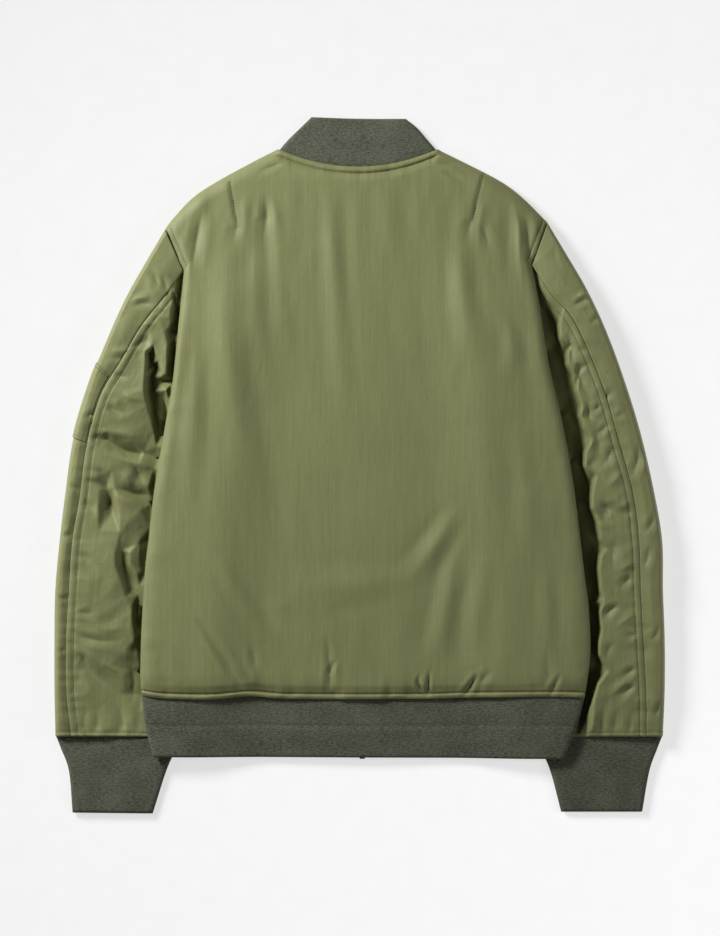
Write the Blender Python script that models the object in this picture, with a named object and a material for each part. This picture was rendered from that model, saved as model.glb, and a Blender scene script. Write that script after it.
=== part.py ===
"""A padded bomber jacket lying flat on its front, with its back uppermost.

The jacket lies on the plane z = 0 with its collar towards +Y. The wearer's left is at -X.
Every size and table is in millimetres, and points become metres when a mesh is made.
The two fronts and the undersides of the sleeves lie on the ground. The inner third of each
sleeve passes under the side of the body, so the sides of the body ride up over the sleeves.
"""

import bmesh
import bpy
import numpy as np

MM = 0.001

# Driving sizes
SEAM = 0.35              # gap between two pieces that meet at a seam
CURVED_SEAM = 2.2        # the same, along the armhole on the underside
NECK_SEAM = 3.2          # the same, along the tight curve of the front neckline
BACK_NECK_SEAM = 2.4     # the same, along the back of the neck
HEM_SEAM = 1.0           # the same, along the uneven hem
SHEET_GAP = 0.2          # half of the gap between two layers that lie on each other
FRONT_WALL = 6.0         # wadded front panels
BACK_WALL = 7.5          # wadded back panel
SLEEVE_WALL = 5.0        # wadded sleeves
RIB_WALL = 3.4           # doubled rib knit
BACK_LOFT_MIDDLE = 11.0  # rise of the back above the layer below it, along its middle
BACK_LOFT_SIDE = 8.0     # the same, where the back rides over a sleeve
RIM = 1.6                # thickness of a panel at a folded edge
FOLD_RADIUS = 16.0       # reach of the rounding beside a folded edge
SLEEVE_LIFT = 10.5       # clearance under the body for the sleeve below it
LIFT_RAMP = 42.0         # width over which the body comes down from the sleeve to the ground
RAMP_SLACK = 2.2         # extra air between the layers on that ramp
SEAM_SLACK = 0.9         # the same beside the neck and the hem
HOLLOW = 3.4             # largest air gap between two layers
ZIP_X = 3.0              # middle of the front zip
BAND = 8.0               # width of the stitched band beside the ribs
BAND_RISE = 1.3          # height of that band
NECK_LEVEL = 345.0       # height up the jacket at which its layers thin out for the collar
THIN_REACH = 28.0        # distance over which they do, and the same above the hem
BACK_LIFT_FADE = (130.0, 270.0)    # heights up the jacket between which the lift fades out
FRONT_LIFT_FADE = (145.0, 220.0)

# The zip, as heights above the ground
ZIP_COVER = 7.0          # height of the layer above the zip
ZIP_PLATEAU = 19.0       # half width of that height
ZIP_RAMP = 12.0          # width over which it falls on either side
FRONT_EDGE_TOP = 4.1     # height of the fronts' own edges, under the tapes
TAPE_Z = (4.4, 5.4)
CHAIN_Z = (3.4, 5.6)
CHAIN_WIDTH = 5.6
TAPE_WIDTH = 13.0
FRONT_EDGE_X = 6.0       # distance of each front's edge from the middle of the zip
ZIP_TOP = 262.0
ZIP_BOTTOM = -325.5

# Outlines in plan: x, y
SHOULDER_LEFT = ((-218, 265), (-208, 278), (-186, 301), (-157, 320), (-117, 342), (-91, 355))
SHOULDER_RIGHT = ((87, 355), (139, 329), (165, 314), (185, 298), (211, 272))
SIDE_LEFT = ((-197, 217), (-202, 165), (-209, 96), (-217, 47), (-229, -23), (-236, -83),
             (-240, -118), (-244, -186), (-245, -232), (-244, -256.5))
SIDE_RIGHT = ((193, 225), (201, 182), (211, 118), (227, 47), (239, -20), (247, -83),
              (252, -126), (256, -157), (258, -209), (252, -259))
HEM = ((-244, -256.5), (-217, -260), (-166, -261), (-123, -258), (-75, -261), (68, -261),
       (119, -259.5), (209, -258), (252, -259))
SIDE_TOP_LEFT = (-211, 80)
SIDE_TOP_RIGHT = (217, 82)

# One row for each section across a sleeve, from the armhole to the cuff: the outer fold, the
# back seam and the inner fold in plan, the bow of the underside towards the body, the heights
# of the back seam and of the crown outside it, and then the share of the way from the seam to
# the inner fold, with the height, of a ridge and of the hollow beside the body.
#  outer x, y    seam x, y    inner x, y   bow  seam  crown  ridge at, z  hollow at, z
LEFT_SLEEVE = (
    (-218, 265, -197, 217, -160, 165, 6, 9.0, 12.0, 0.10, 10.0, 0.60, 8.5),
    (-242, 224, -220, 186, -168, 118, 4, 15.0, 16.0, 0.15, 14.0, 0.50, 7.0),
    (-263, 186, -243, 157, -174, 74, 2, 17.0, 18.5, 0.12, 15.5, 0.46, 6.6),
    (-284, 139, -266, 118, -175, 40, 0, 17.5, 19.5, 0.10, 16.0, 0.40, 6.4),
    (-304, 88, -290, 77, -175, 6, 0, 17.0, 19.0, 0.14, 15.0, 0.44, 6.4),
    (-321, 29, -305, 22, -178, -27, 0, 16.0, 18.5, 0.10, 13.5, 0.38, 6.4),
    (-330, -33, -313, -36, -181, -61, 0, 15.0, 18.0, 0.10, 13.0, 0.40, 6.6),
    (-336, -83, -321, -84, -184, -100, 0, 15.0, 18.0, 0.12, 14.0, 0.40, 6.6),
    (-341, -139, -325, -140, -189, -150, 0, 14.5, 17.5, 0.20, 14.5, 0.52, 6.8),
    (-342, -195, -328, -196, -192, -203, 0, 14.0, 16.5, 0.22, 14.5, 0.57, 7.0),
    (-342, -251, -328, -252, -197, -256, 0, 12.5, 15.0, 0.22, 13.5, 0.60, 7.5),
    (-341, -303, -323, -303, -200, -304, 0, 8.5, 9.0, 0.25, 8.8, 0.60, 7.5),
)
RIGHT_SLEEVE = (
    (211, 272, 193, 224, 155, 170, 6, 9.0, 12.0, 0.08, 10.0, 0.50, 8.5),
    (233, 235, 215, 190, 163, 122, 4, 14.5, 16.0, 0.12, 14.0, 0.42, 6.8),
    (255, 197, 236, 167, 168, 77, 2, 16.5, 18.0, 0.14, 16.0, 0.40, 6.5),
    (276, 152, 255, 129, 171, 42, 0, 17.0, 18.5, 0.24, 17.0, 0.44, 6.4),
    (296, 98, 274, 81, 173, 9, 0, 16.5, 18.5, 0.26, 18.0, 0.45, 6.4),
    (314, 40, 289, 29, 176, -24, 0, 15.5, 18.0, 0.30, 18.5, 0.46, 6.4),
    (329, -24, 305, -29, 182, -59, 0, 15.0, 18.0, 0.32, 18.5, 0.47, 6.4),
    (339, -83, 312, -85, 189, -98, 0, 15.0, 18.0, 0.34, 18.5, 0.48, 6.4),
    (340, -139, 314, -141, 192, -149, 0, 14.5, 17.5, 0.37, 18.0, 0.48, 6.5),
    (342, -195, 317, -196, 193, -202, 0, 14.0, 16.5, 0.38, 17.0, 0.48, 6.8),
    (342, -251, 320, -252, 194, -255, 0, 12.5, 15.0, 0.38, 15.0, 0.49, 7.2),
    (340, -303, 321, -303, 194, -304, 0, 8.5, 9.0, 0.38, 8.8, 0.52, 7.5),
)
UNDER_SEAM = 0.35        # place of the under-sleeve seam, from the inner fold to the outer one
SLEEVE_MIDDLE = 5.0      # height at which the two layers of a sleeve meet
UNDERLAP_Z = 8.8         # height of a sleeve where it lies under the body
SLEEVE_RADIUS = 15.0

# Folds of the cloth: start x, y, end x, y, half width, height (negative for a trough)
BACK_FOLDS = (
    (-172, 300, -194, 208, 9, 2.2),
    (-160, 300, -181, 205, 8, -2.4),
    (-106, 308, -110, 232, 8, -2.2),
    (-122, 226, -128, 190, 11, -1.4),
    (139, 328, 126, 276, 7, -1.4),
    (186, 284, 203, 178, 9, -2.0),
    (-156, -200, -131, -246, 7, -1.8),
    (129, -232, 118, -252, 6, -2.2),
    (-37, -185, -31, -248, 7, -1.4),
    (208, -195, 212, -246, 7, -1.6),
    (73, -126, 70, -225, 10, -1.8),
    (114, -160, 103, -230, 11, -2.0),
)
LEFT_SLEEVE_FOLDS = (
    (-252, 177, -233, 180, 6, -1.8),
    (-282, 127, -264, 125, 5, -1.5),
    (-278, 20, -225, 11, 7, -2.0),
    (-274, -25, -229, -33, 7, -2.2),
    (-262, -94, -252, -143, 9, -3.5),
    (-319, -188, -259, -195, 6, -1.5),
    (-310, -213, -278, -249, 6, -1.6),
)
RIGHT_SLEEVE_FOLDS = (
    (254, 183, 235, 178, 6, -1.8),
    (265, 165, 255, 159, 5, -1.6),
    (312, 22, 305, -15, 6, -1.2),
    (329, -46, 319, -74, 6, -1.2),
    (305, -123, 288, -141, 6, -1.8),
    (294, -155, 269, -178, 6, -2.2),
    (310, -224, 289, -241, 6, -1.8),
    (310, -244, 283, -258, 6, -1.8),
)

# Rib bands. Each row is one line along the band, from its seam to its free edge:
# left fold x, y, right fold x, y, sag of the back line, front middle y, sag of the front line
COLLAR_ROWS = (
    (-91, 355, 87, 355, 19.8, 280.5, 18.6),
    (-80, 367, 76, 367, 13, 298, 17.2),
    (-66, 380, 65, 379, 6.5, 318, 15.4),
    (-54, 391, 52, 389, 0.5, 336, 13.6),
)
WAISTBAND_ROWS = (
    (-244, -257, 252, -259, 0.0, -258.5, 0),
    (-240, -290, 243, -292, 0.0, -290, 0),
    (-231, -326, 228, -328, 0.0, -326.5, 0),
)
COLLAR_GAP = 5.0         # half of the gap between the collar's two ends
COLLAR_HALF = 95.0       # half of its width where it meets the shoulders
RIB_RADIUS = 6.0

# The cuffs: outer x, y, inner x, y of each line round the cuff, from its seam to its opening
LEFT_CUFF_ROWS = (
    (-341, -304, -200, -305),
    (-335, -318, -206, -319),
    (-326, -343, -217, -343),
    (-322, -389, -232, -390),
)
RIGHT_CUFF_ROWS = (
    (340, -304, 194, -305),
    (334, -318, 203, -319),
    (325, -343, 214, -343),
    (317, -388, 226, -388),
)

# The sleeve pocket, as the first and last rows and columns of the left upper sleeve's own
# points that it covers. It wraps the outer fold.
POCKET_ROWS = (7, 10)
POCKET_COLUMNS = (1, 11)
POCKET_WALL = 1.8
POCKET_GAP = 0.3

# The slider and its pull tab
SLIDER_LENGTH = 11.0
SLIDER_WIDTH = 9.4
SLIDER_CORE = 5.0
SLIDER_LOWER_Z = (2.1, 3.2)
SLIDER_UPPER_Z = (5.8, 6.7)
PULL_AXIS_Z = 1.4
PULL_BAR = 0.8
PULL_LENGTH = 30.0
PULL_WIDTH = 6.4
PULL_WINDOW = (3.2, 5.0)
CROWN_Z = (0.15, 0.75)
CROWN_WIDTH = 2.0
CROWN_LENGTH = 7.6
CROWN_LEG = 1.3

# Mesh density
BACK_ROWS = 27
ARMHOLE_ROWS = 5
BACK_SHOULDER_COLUMNS = 10
BACK_NECK_COLUMNS = 11
SHOULDER_SHARE = 0.315   # share of the back's width outside the collar, on either side
FRONT_ROWS = 20
FRONT_COLUMNS = 12
TAPE_COLUMN = 0.07       # share of a front's width that the zip tape covers
SLEEVE_ROWS = 23
RIB_COLUMNS = 25
CUFF_COLUMNS = 9

OLIVE = (0.105, 0.115, 0.045)
RIB_GREEN = (0.045, 0.05, 0.032)
TAPE_GREEN = (0.05, 0.055, 0.03)
ZIP_METAL = (0.12, 0.11, 0.09)


# Curves and patches

def smooth_run(points):
    """A fine line through some points, along a Catmull-Rom curve."""
    points = np.array(points, float)
    ends = [2 * points[0] - points[1], *points, 2 * points[-1] - points[-2]]
    t = np.linspace(0, 1, 10, endpoint=False)[:, None]
    fine = []
    for before, start, end, after in zip(ends, ends[1:], ends[2:], ends[3:]):
        bend = 2 * before - 5 * start + 4 * end - after
        twist = 3 * start - before - 3 * end + after
        fine.append(start + 0.5 * ((end - before) * t + bend * t**2 + twist * t**3))
    return np.vstack([*fine, points[-1:]])


def along(line, shares):
    """Points at some shares of a line's length."""
    steps = np.linalg.norm(np.diff(line, axis=0), axis=1)
    reach = np.concatenate([[0], np.cumsum(steps)])
    wanted = np.asarray(shares) * reach[-1]
    return np.stack([np.interp(wanted, reach, column) for column in line.T], axis=-1)


def sections_at(table, places):
    """The rows of a table at some places between its rows, along smooth curves."""
    line = smooth_run(table)
    return np.stack([np.interp(np.asarray(places) * 10, range(len(line)), c) for c in line.T], axis=-1)


def patch(top, bottom, left, right, u, v):
    """A grid of points between four edges that share their corners. Its rows run down."""
    u = u[None, :, None]
    v = v[:, None, None]
    corners = ((1 - u) * (1 - v) * top[0] + u * (1 - v) * top[-1]
               + (1 - u) * v * bottom[0] + u * v * bottom[-1])
    across = (1 - v) * top[None] + v * bottom[None]
    down = (1 - u) * left[:, None] + u * right[:, None]
    return across + down - corners


def both_ends(count):
    """Shares from 0 to 1 that crowd towards both ends."""
    return (1 - np.cos(np.pi * np.linspace(0, 1, count))) / 2


def ease(t):
    """A smooth step from 0 to 1."""
    t = np.clip(t, 0, 1)
    return t * t * (3 - 2 * t)


def rounding(distance, radius):
    """A quarter ellipse: 0 at a folded edge, and 1 from the radius inwards."""
    t = 1 - np.clip(distance / radius, 0, 1)
    return np.sqrt(1 - t * t)


def apart(points, others):
    """The distances between two sets of points in plan."""
    return np.linalg.norm(points[..., :2] - others[..., :2], axis=-1)


def folds_at(x, y, folds):
    """The height that a table of folds adds at some points."""
    total = np.zeros(np.shape(x))
    for x0, y0, x1, y1, width, height in folds:
        length = np.hypot(x1 - x0, y1 - y0)
        ahead = ((x - x0) * (x1 - x0) + (y - y0) * (y1 - y0)) / length
        aside = ((x - x0) * (y1 - y0) - (y - y0) * (x1 - x0)) / length
        past = np.maximum(np.maximum(-ahead, ahead - length), 0)
        total = total + height * np.exp(-(aside / width) ** 2 - (past / width) ** 2)
    return total


# Heights of the layers of the body

def past_inner_fold(x, y, table):
    """How far a point is from a sleeve's inner fold, towards the middle of the body."""
    inner = np.array(table)[::-1, 4:6]
    edge = np.interp(y, inner[:, 1], inner[:, 0])
    return x - edge if edge.flat[0] < 0 else edge - x


def lift(x, y, bottom, top):
    """How far the sleeves raise the body, fading out between two heights up the jacket."""
    fade = ease((top - y) / (top - bottom))
    left = 1 - ease(past_inner_fold(x, y, LEFT_SLEEVE) / LIFT_RAMP)
    right = 1 - ease(past_inner_fold(x, y, RIGHT_SLEEVE) / LIFT_RAMP)
    return SLEEVE_LIFT * fade * np.maximum(left, right)


def front_lift(x, y):
    """The same, for the fronts and the waistband."""
    return lift(x, y, *FRONT_LIFT_FADE)


def near_zip(x):
    """1 beside the front zip, and 0 away from it."""
    return 1 - ease((np.abs(x - ZIP_X) - ZIP_PLATEAU) / ZIP_RAMP)


def hem_height(x):
    """The hem's y at some x."""
    line = smooth_run(HEM)
    return np.interp(x, line[:, 0], line[:, 1])


def near_seams(x, y):
    """1 over most of the body, and 0 at the neck and the hem."""
    return ease(np.minimum(y - hem_height(x), NECK_LEVEL - y) / THIN_REACH)


def body_middle(x, y, lifted):
    """The height at which the back lies on the fronts, over a given lift."""
    thin = RIB_WALL + 0.3
    layer = thin + (FRONT_WALL - thin) * near_seams(x, y)
    return lifted + layer + (ZIP_COVER - layer) * near_zip(x) * (1 - lifted / SLEEVE_LIFT)


def back_middle(x, y):
    """The same, over the lift that the back itself has."""
    return body_middle(x, y, lift(x, y, *BACK_LIFT_FADE))


def layer_slack(x, y, lifted):
    """Extra air above the fronts where the layers bend up and down."""
    on_ramp = lifted / SLEEVE_LIFT
    at_seam = near_seams(x, y)
    return (RAMP_SLACK * np.sqrt(4 * on_ramp * (1 - on_ramp))
            + SEAM_SLACK * np.sqrt(4 * at_seam * (1 - at_seam)))


# Meshes

def material(name, color, roughness, metallic=0.0):
    """A plain Principled material."""
    made = bpy.data.materials.new(name)
    made.use_nodes = True
    shader = made.node_tree.nodes["Principled BSDF"]
    shader.inputs["Base Color"].default_value = (*color, 1)
    shader.inputs["Roughness"].default_value = roughness
    shader.inputs["Metallic"].default_value = metallic
    return made


def make_object(name, vertices, faces, look, smooth=True):
    """An object from points in millimetres and the faces between them."""
    mesh = bpy.data.meshes.new(name)
    mesh.from_pydata((np.array(vertices, float) * MM).tolist(), [], faces)
    shape = bmesh.new()
    shape.from_mesh(mesh)
    bmesh.ops.triangulate(shape, faces=shape.faces)
    bmesh.ops.recalc_face_normals(shape, faces=shape.faces)
    if shape.calc_volume(signed=True) < 0:
        bmesh.ops.reverse_faces(shape, faces=shape.faces)
    shape.to_mesh(mesh)
    shape.free()
    mesh.materials.append(look)
    if smooth:
        mesh.shade_smooth()
    made = bpy.data.objects.new(name, mesh)
    bpy.context.collection.objects.link(made)
    return made


def cloth_wall(name, outer, inner, look, closed=False):
    """A wall between two grids of points. A closed wall's last column joins its first."""
    rows, columns = outer.shape[:2]

    def corner(layer, row, column):
        return layer * rows * columns + row * columns + column % columns

    faces = []
    spans = columns if closed else columns - 1
    for row in range(rows - 1):
        for column in range(spans):
            quad = [(row, column), (row, column + 1), (row + 1, column + 1), (row + 1, column)]
            faces.append([corner(0, *at) for at in quad])
            faces.append([corner(1, *at) for at in reversed(quad)])
    rim = [[(0, c + 1), (0, c)] for c in range(spans)]
    rim += [[(rows - 1, c), (rows - 1, c + 1)] for c in range(spans)]
    if not closed:
        rim += [[(r, 0), (r + 1, 0)] for r in range(rows - 1)]
        rim += [[(r + 1, columns - 1), (r, columns - 1)] for r in range(rows - 1)]
    for start, end in rim:
        faces.append([corner(0, *start), corner(0, *end), corner(1, *end), corner(1, *start)])
    vertices = np.vstack([outer.reshape(-1, 3), inner.reshape(-1, 3)])
    return make_object(name, vertices, faces, look)


def with_height(plan, z):
    """Plan points with their heights."""
    return np.concatenate([plan, np.broadcast_to(z, plan.shape[:-1])[..., None]], axis=-1)


def box_mesh(x, y, z):
    """The corners and faces of a box, from its ranges."""
    corners = [(i, j, k) for i in x for j in y for k in z]
    faces = [(0, 1, 3, 2), (4, 6, 7, 5), (0, 4, 5, 1), (2, 3, 7, 6), (0, 2, 6, 4), (1, 5, 7, 3)]
    return corners, faces


# The body

def beside_rib(distance):
    """The share of a panel's loft beside its seam with a rib: a stitched band, then a swell."""
    swell = 0.42 + 0.58 * ease((distance - BAND * 0.6) / 26)
    band = BAND_RISE / BACK_LOFT_SIDE * (1 - ease((distance - BAND * 0.7) / (BAND * 0.5)))
    return swell + band


def body_sides():
    """The back's row shares and its two side edges, with a row at the end of each armhole."""
    near_hem = np.array([40, 26, 16, 9, 5, 0.0])
    edges = []
    for shoulder, side in ((SHOULDER_LEFT[0], SIDE_LEFT), (SHOULDER_RIGHT[-1], SIDE_RIGHT)):
        armhole = np.array([shoulder, side[0]], float)
        top = along(armhole, np.linspace(0, 1, ARMHOLE_ROWS + 1) ** 1.8)
        line = smooth_run(side)
        length = np.sum(np.linalg.norm(np.diff(line, axis=0), axis=1))
        last = 1 - near_hem / length
        down = np.linspace(0, last[0], BACK_ROWS - ARMHOLE_ROWS - len(near_hem) + 1)[:-1]
        edges.append(np.vstack([top[:-1], along(line, np.concatenate([down, last]))]))
    steps = np.linalg.norm(np.diff(edges[0], axis=0), axis=1)
    return np.concatenate([[0], np.cumsum(steps)]) / steps.sum(), edges


def back_panel(look):
    """The back, from shoulder to shoulder and from the collar to the waistband."""
    shoulders = BACK_SHOULDER_COLUMNS
    outer_share = SHOULDER_SHARE
    to_edge = np.linspace(0, 1, shoulders, endpoint=False) ** 2 * outer_share
    neck = np.linspace(outer_share, 1 - outer_share, BACK_NECK_COLUMNS)
    u = np.concatenate([to_edge, neck, 1 - to_edge[::-1]])
    v, sides = body_sides()
    rim = np.array([SEAM, 0])
    left_line, right_line = sides[0] + rim, sides[1] - rim
    left_shoulder = smooth_run(SHOULDER_LEFT)
    right_shoulder = smooth_run(SHOULDER_RIGHT)
    left, _, right, neck_y, sag = COLLAR_ROWS[0][:5]
    across = (neck - outer_share) / (1 - 2 * outer_share)
    neck_line = np.stack([left + (right - left) * across,
                          neck_y - BACK_NECK_SEAM - sag * 4 * across * (1 - across)], axis=-1)
    top = np.vstack([
        along(left_shoulder, to_edge / outer_share),
        neck_line,
        along(right_shoulder, 1 - to_edge[::-1] / outer_share),
    ])
    top[0] = left_line[0]
    top[-1] = right_line[0]
    hem_line = smooth_run(HEM)
    hem_line[0] = left_line[-1]
    hem_line[-1] = right_line[-1]
    plan = patch(top, along(hem_line, u), left_line, right_line, u, v)
    x, y = plan[..., 0], plan[..., 1]
    middle = back_middle(x, y)

    from_top = apart(plan, plan[:1])
    from_hem = apart(plan, plan[-1:])
    from_left = apart(plan, plan[:, :1])
    from_right = apart(plan, plan[:, -1:])
    at_neck = ease((u - outer_share + 0.03) / 0.04) * ease((1 - outer_share + 0.03 - u) / 0.04)
    top_edge = at_neck * beside_rib(from_top) + (1 - at_neck) * rounding(from_top, FOLD_RADIUS)
    share = (top_edge * beside_rib(from_hem) * side_share(from_left, y, SIDE_LEFT[0][1])
             * side_share(from_right, y, SIDE_RIGHT[0][1]))
    raised = lift(x, y, *BACK_LIFT_FADE) / SLEEVE_LIFT
    loft = BACK_LOFT_MIDDLE + (BACK_LOFT_SIDE - BACK_LOFT_MIDDLE) * raised
    loft = loft + folds_at(x, y, BACK_FOLDS)
    outer_z = middle + SHEET_GAP + RIM + (loft - RIM) * share
    inner_z = np.clip(outer_z - BACK_WALL, middle + SHEET_GAP, middle + HOLLOW)
    return cloth_wall("back_panel", with_height(plan, outer_z), with_height(plan, inner_z), look)


def side_share(distance, y, armhole_end):
    """A panel's share of loft beside its side: a seam at the armhole, and below it a fold."""
    armhole = ease((y - armhole_end) / 14)
    seam = 0.62 + 0.38 * ease(distance / 14)
    return armhole * seam + (1 - armhole) * rounding(distance, FOLD_RADIUS)


def front_panel(name, table, shoulder, side, side_top, look):
    """One front, on the ground under the back, from the zip to the armhole and the side."""
    hand = 1 if side_top[0] > 0 else -1
    edge_x = ZIP_X + hand * FRONT_EDGE_X
    t = np.linspace(0, 1, FRONT_COLUMNS - 1)
    u = np.concatenate([[0], TAPE_COLUMN + (1 - TAPE_COLUMN) * (0.5 * t + 0.5 * (1 - (1 - t) ** 2))])
    v = both_ends(FRONT_ROWS) * 0.5 + np.linspace(0, 1, FRONT_ROWS) * 0.5
    armhole = sleeve_under(np.array(table[:1], float), np.linspace(1, 0, 9))[0][0]
    below = smooth_run(side)
    below = below[below[:, 1] < side_top[1] - 4]
    outer_line = np.vstack([armhole - [hand * CURVED_SEAM, 0], [side_top], below])
    collar = np.array(COLLAR_ROWS[:1], float)
    across = band_shares(COLLAR_ROWS, False)[0]
    neck = band_line(collar, across, "front", False)[0] - [0, NECK_SEAM]
    neck = neck[neck[:, 0] * hand > edge_x * hand + 1]
    neck = neck if hand > 0 else neck[::-1]
    top_line = np.vstack([[edge_x, neck[0, 1]], neck, shoulder[1:-1], outer_line[:1]])
    hem_points = smooth_run(HEM)
    hem_points = hem_points[hem_points[:, 0] * hand > edge_x * hand + 5]
    hem_points = hem_points if hand > 0 else hem_points[::-1]
    hem_line = np.vstack([[edge_x, hem_height(edge_x)], hem_points[:-1], outer_line[-1:]])
    zip_line = np.array([top_line[0], hem_line[0]])
    plan = patch(along(top_line, u), along(hem_line, u), along(zip_line, v),
                 along(outer_line, v), u, v)
    x, y = plan[..., 0], plan[..., 1]
    raised = front_lift(x, y)
    middle = body_middle(x, y, raised)
    top_z = middle - 2 * SHEET_GAP - layer_slack(x, y, raised)
    top_z[:, :2] = FRONT_EDGE_TOP
    from_side = apart(plan, plan[:, -1:])
    from_top = apart(plan, plan[:1])
    at_shoulder = ease((np.abs(along(top_line, u)[:, 0]) - COLLAR_HALF) / 12)[None, :]
    folded = rounding(from_top, FOLD_RADIUS) * at_shoulder + 1 - at_shoulder
    below_armhole = 1 - ease((y - side_top[1] - 4) / 10)
    share = folded * (rounding(from_side, FOLD_RADIUS) * below_armhole + 1 - below_armhole)
    bottom_z = raised + (top_z - RIM - raised) * (1 - share)
    return cloth_wall(name, with_height(plan, bottom_z), with_height(plan, top_z), look)


# The sleeves

def sleeve_points(rows):
    """The outer fold, the back seam and the inner fold of some sections, in plan."""
    return rows[:, None, 0:2], rows[:, None, 2:4], rows[:, None, 4:6]


def sleeve_top(rows, shares, folds, part):
    """Points of a sleeve's upper side. The outer part runs from the back seam to the outer
    fold, and the inner part from the back seam to the inner fold."""
    outer, seam, inner = sleeve_points(rows)
    end = outer if part == "outer" else inner
    t = np.asarray(shares)[None, :, None]
    plan = seam + (end - seam) * t
    t = t[..., 0]
    seam_z, crown_z, ridge_at, ridge_z, hollow_at, hollow_z = (rows[:, k, None] for k in range(7, 13))
    if part == "outer":
        z = seam_z + (crown_z - seam_z) * ease(t / 0.5)
    else:
        z = seam_z + (ridge_z - seam_z) * ease(t / ridge_at)
        z = z + (hollow_z - ridge_z) * ease((t - ridge_at) / (hollow_at - ridge_at))
        z = z + (UNDERLAP_Z - hollow_z) * ease((t - hollow_at) / 0.25)
    z = np.maximum(z + folds_at(plan[..., 0], plan[..., 1], folds), SLEEVE_MIDDLE + 1.6)
    if part == "inner":
        z = np.minimum(z, under_body(plan[..., 0], plan[..., 1]))
    edge = rounding(apart(plan, end), SLEEVE_RADIUS)
    return plan, SLEEVE_MIDDLE + (z - SLEEVE_MIDDLE) * edge


def sleeve_under(rows, shares):
    """Points of a sleeve's underside, from the inner fold to the outer one. It bows towards the
    body, as the armhole does."""
    outer, _, inner = sleeve_points(rows)
    t = np.asarray(shares)[None, :, None]
    across = outer - inner
    towards_body = np.stack([-across[..., 1], across[..., 0]], axis=-1) * np.sign(inner[..., :1])
    towards_body /= np.linalg.norm(across, axis=-1, keepdims=True)
    plan = inner + across * t + towards_body * rows[:, 6, None, None] * np.sin(np.pi * t)
    from_fold = np.minimum(apart(plan, outer), apart(plan, inner))
    z = SLEEVE_MIDDLE * (1 - rounding(from_fold, SLEEVE_RADIUS))
    return plan, z


def under_body(x, y):
    """The height that a sleeve keeps below, under the body and close beside its edge."""
    side = SIDE_LEFT if x.flat[0] < 0 else SIDE_RIGHT
    edge = np.array(side)[::-1]
    outside = np.abs(x) - np.abs(np.interp(y, edge[:, 1], edge[:, 0]))
    below = np.minimum(UNDERLAP_Z, back_middle(x, y) - 0.8)
    return below + 1.4 * np.maximum(outside - 2, 0)


def sleeve_grid(table, folds, part, pocket=False):
    """The outer points of one of a sleeve's two pieces, and how many columns are on top."""
    rows = sections_at(table, np.linspace(0, len(table) - 1, SLEEVE_ROWS))
    outer, seam, inner = sleeve_points(rows)
    fold, other = (outer, inner) if part == "outer" else (inner, outer)
    if part == "outer":
        top_shares = 1 - (1 - np.linspace(0, 1, 7)) ** 1.8
        under_from = 1.0
    else:
        top_shares = np.linspace(0, 1, 13) * 0.5 + (1 - (1 - np.linspace(0, 1, 13)) ** 2) * 0.5
        under_from = 0.0
    under_shares = under_from + (UNDER_SEAM - under_from) * np.linspace(0, 1, 7)[1:] ** 1.7
    top_plan, top_z = sleeve_top(rows, top_shares, folds, part)
    under_plan, under_z = sleeve_under(rows, under_shares)
    if pocket:
        first, last = POCKET_ROWS
        count = POCKET_COLUMNS[1] - len(top_shares) + 1
        room = under_z[first:last + 1, :count]
        np.maximum(room, POCKET_WALL + POCKET_GAP + 0.1, out=room)
    top_plan[:, :1] += (fold - seam) / apart(fold, seam)[..., None] * SEAM / 2
    under_plan[:, -1:] += (fold - other) / apart(fold, other)[..., None] * SEAM / 2
    skin = np.concatenate([with_height(top_plan, top_z), with_height(under_plan, under_z)], axis=1)
    return skin, fold, other, seam, len(top_shares)


def sleeve_piece(name, table, folds, part, look, pocket=False):
    """One of a sleeve's two pieces, wrapped round the outer or the inner fold."""
    skin, fold, other, seam, top_count = sleeve_grid(table, folds, part, pocket)
    on_top = np.arange(skin.shape[1])[None, :] < top_count
    beside = np.where(on_top[..., None], skin[:, top_count - 2, None, :2], skin[:, top_count, None, :2])
    inward = (beside - fold) / apart(beside, fold)[..., None]
    reach = np.minimum(35.0, apart(fold, seam))
    from_fold = apart(skin, fold)
    plan = skin[..., :2] + inward * (SLEEVE_WALL * np.clip(1 - from_fold / reach, 0, 1))[..., None]
    on_fold = from_fold < 0.01
    room = HOLLOW * ease((from_fold - 8) / 25)
    floor = SLEEVE_MIDDLE + SHEET_GAP
    above = np.clip(skin[..., 2] - SLEEVE_WALL, floor, floor + room)
    z = np.where(on_top, above, SLEEVE_MIDDLE - SHEET_GAP)
    z = np.where(on_fold, SLEEVE_MIDDLE, z)
    return cloth_wall(name, skin, with_height(plan, z), look)


def sleeve_pocket(look):
    """A flat patch pocket on the left sleeve, made from the sleeve's points moved out."""
    skin = sleeve_grid(LEFT_SLEEVE, LEFT_SLEEVE_FOLDS, "outer", True)[0]
    normal = np.cross(np.gradient(skin, axis=0), np.gradient(skin, axis=1))
    normal /= np.linalg.norm(normal, axis=-1, keepdims=True)
    normal *= np.sign(normal[POCKET_ROWS[0], POCKET_COLUMNS[0], 2])
    rows = slice(POCKET_ROWS[0], POCKET_ROWS[1] + 1)
    columns = slice(POCKET_COLUMNS[0], POCKET_COLUMNS[1] + 1)
    skin, normal = skin[rows, columns], normal[rows, columns]
    inner = skin + normal * POCKET_GAP
    outer = skin + normal * (POCKET_GAP + POCKET_WALL)
    outer[..., 2] = np.maximum(outer[..., 2], 0)
    return cloth_wall("sleeve_pocket", outer, inner, look)


# The ribs

def gap_ends(t):
    """The two shares, on either side of the middle, between which a band is open in front."""
    start = int(np.argmax(np.diff(t) * (np.abs(t[:-1] + np.diff(t) / 2 - 0.5) < 0.03)))
    return t[start], t[start + 1]


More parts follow.
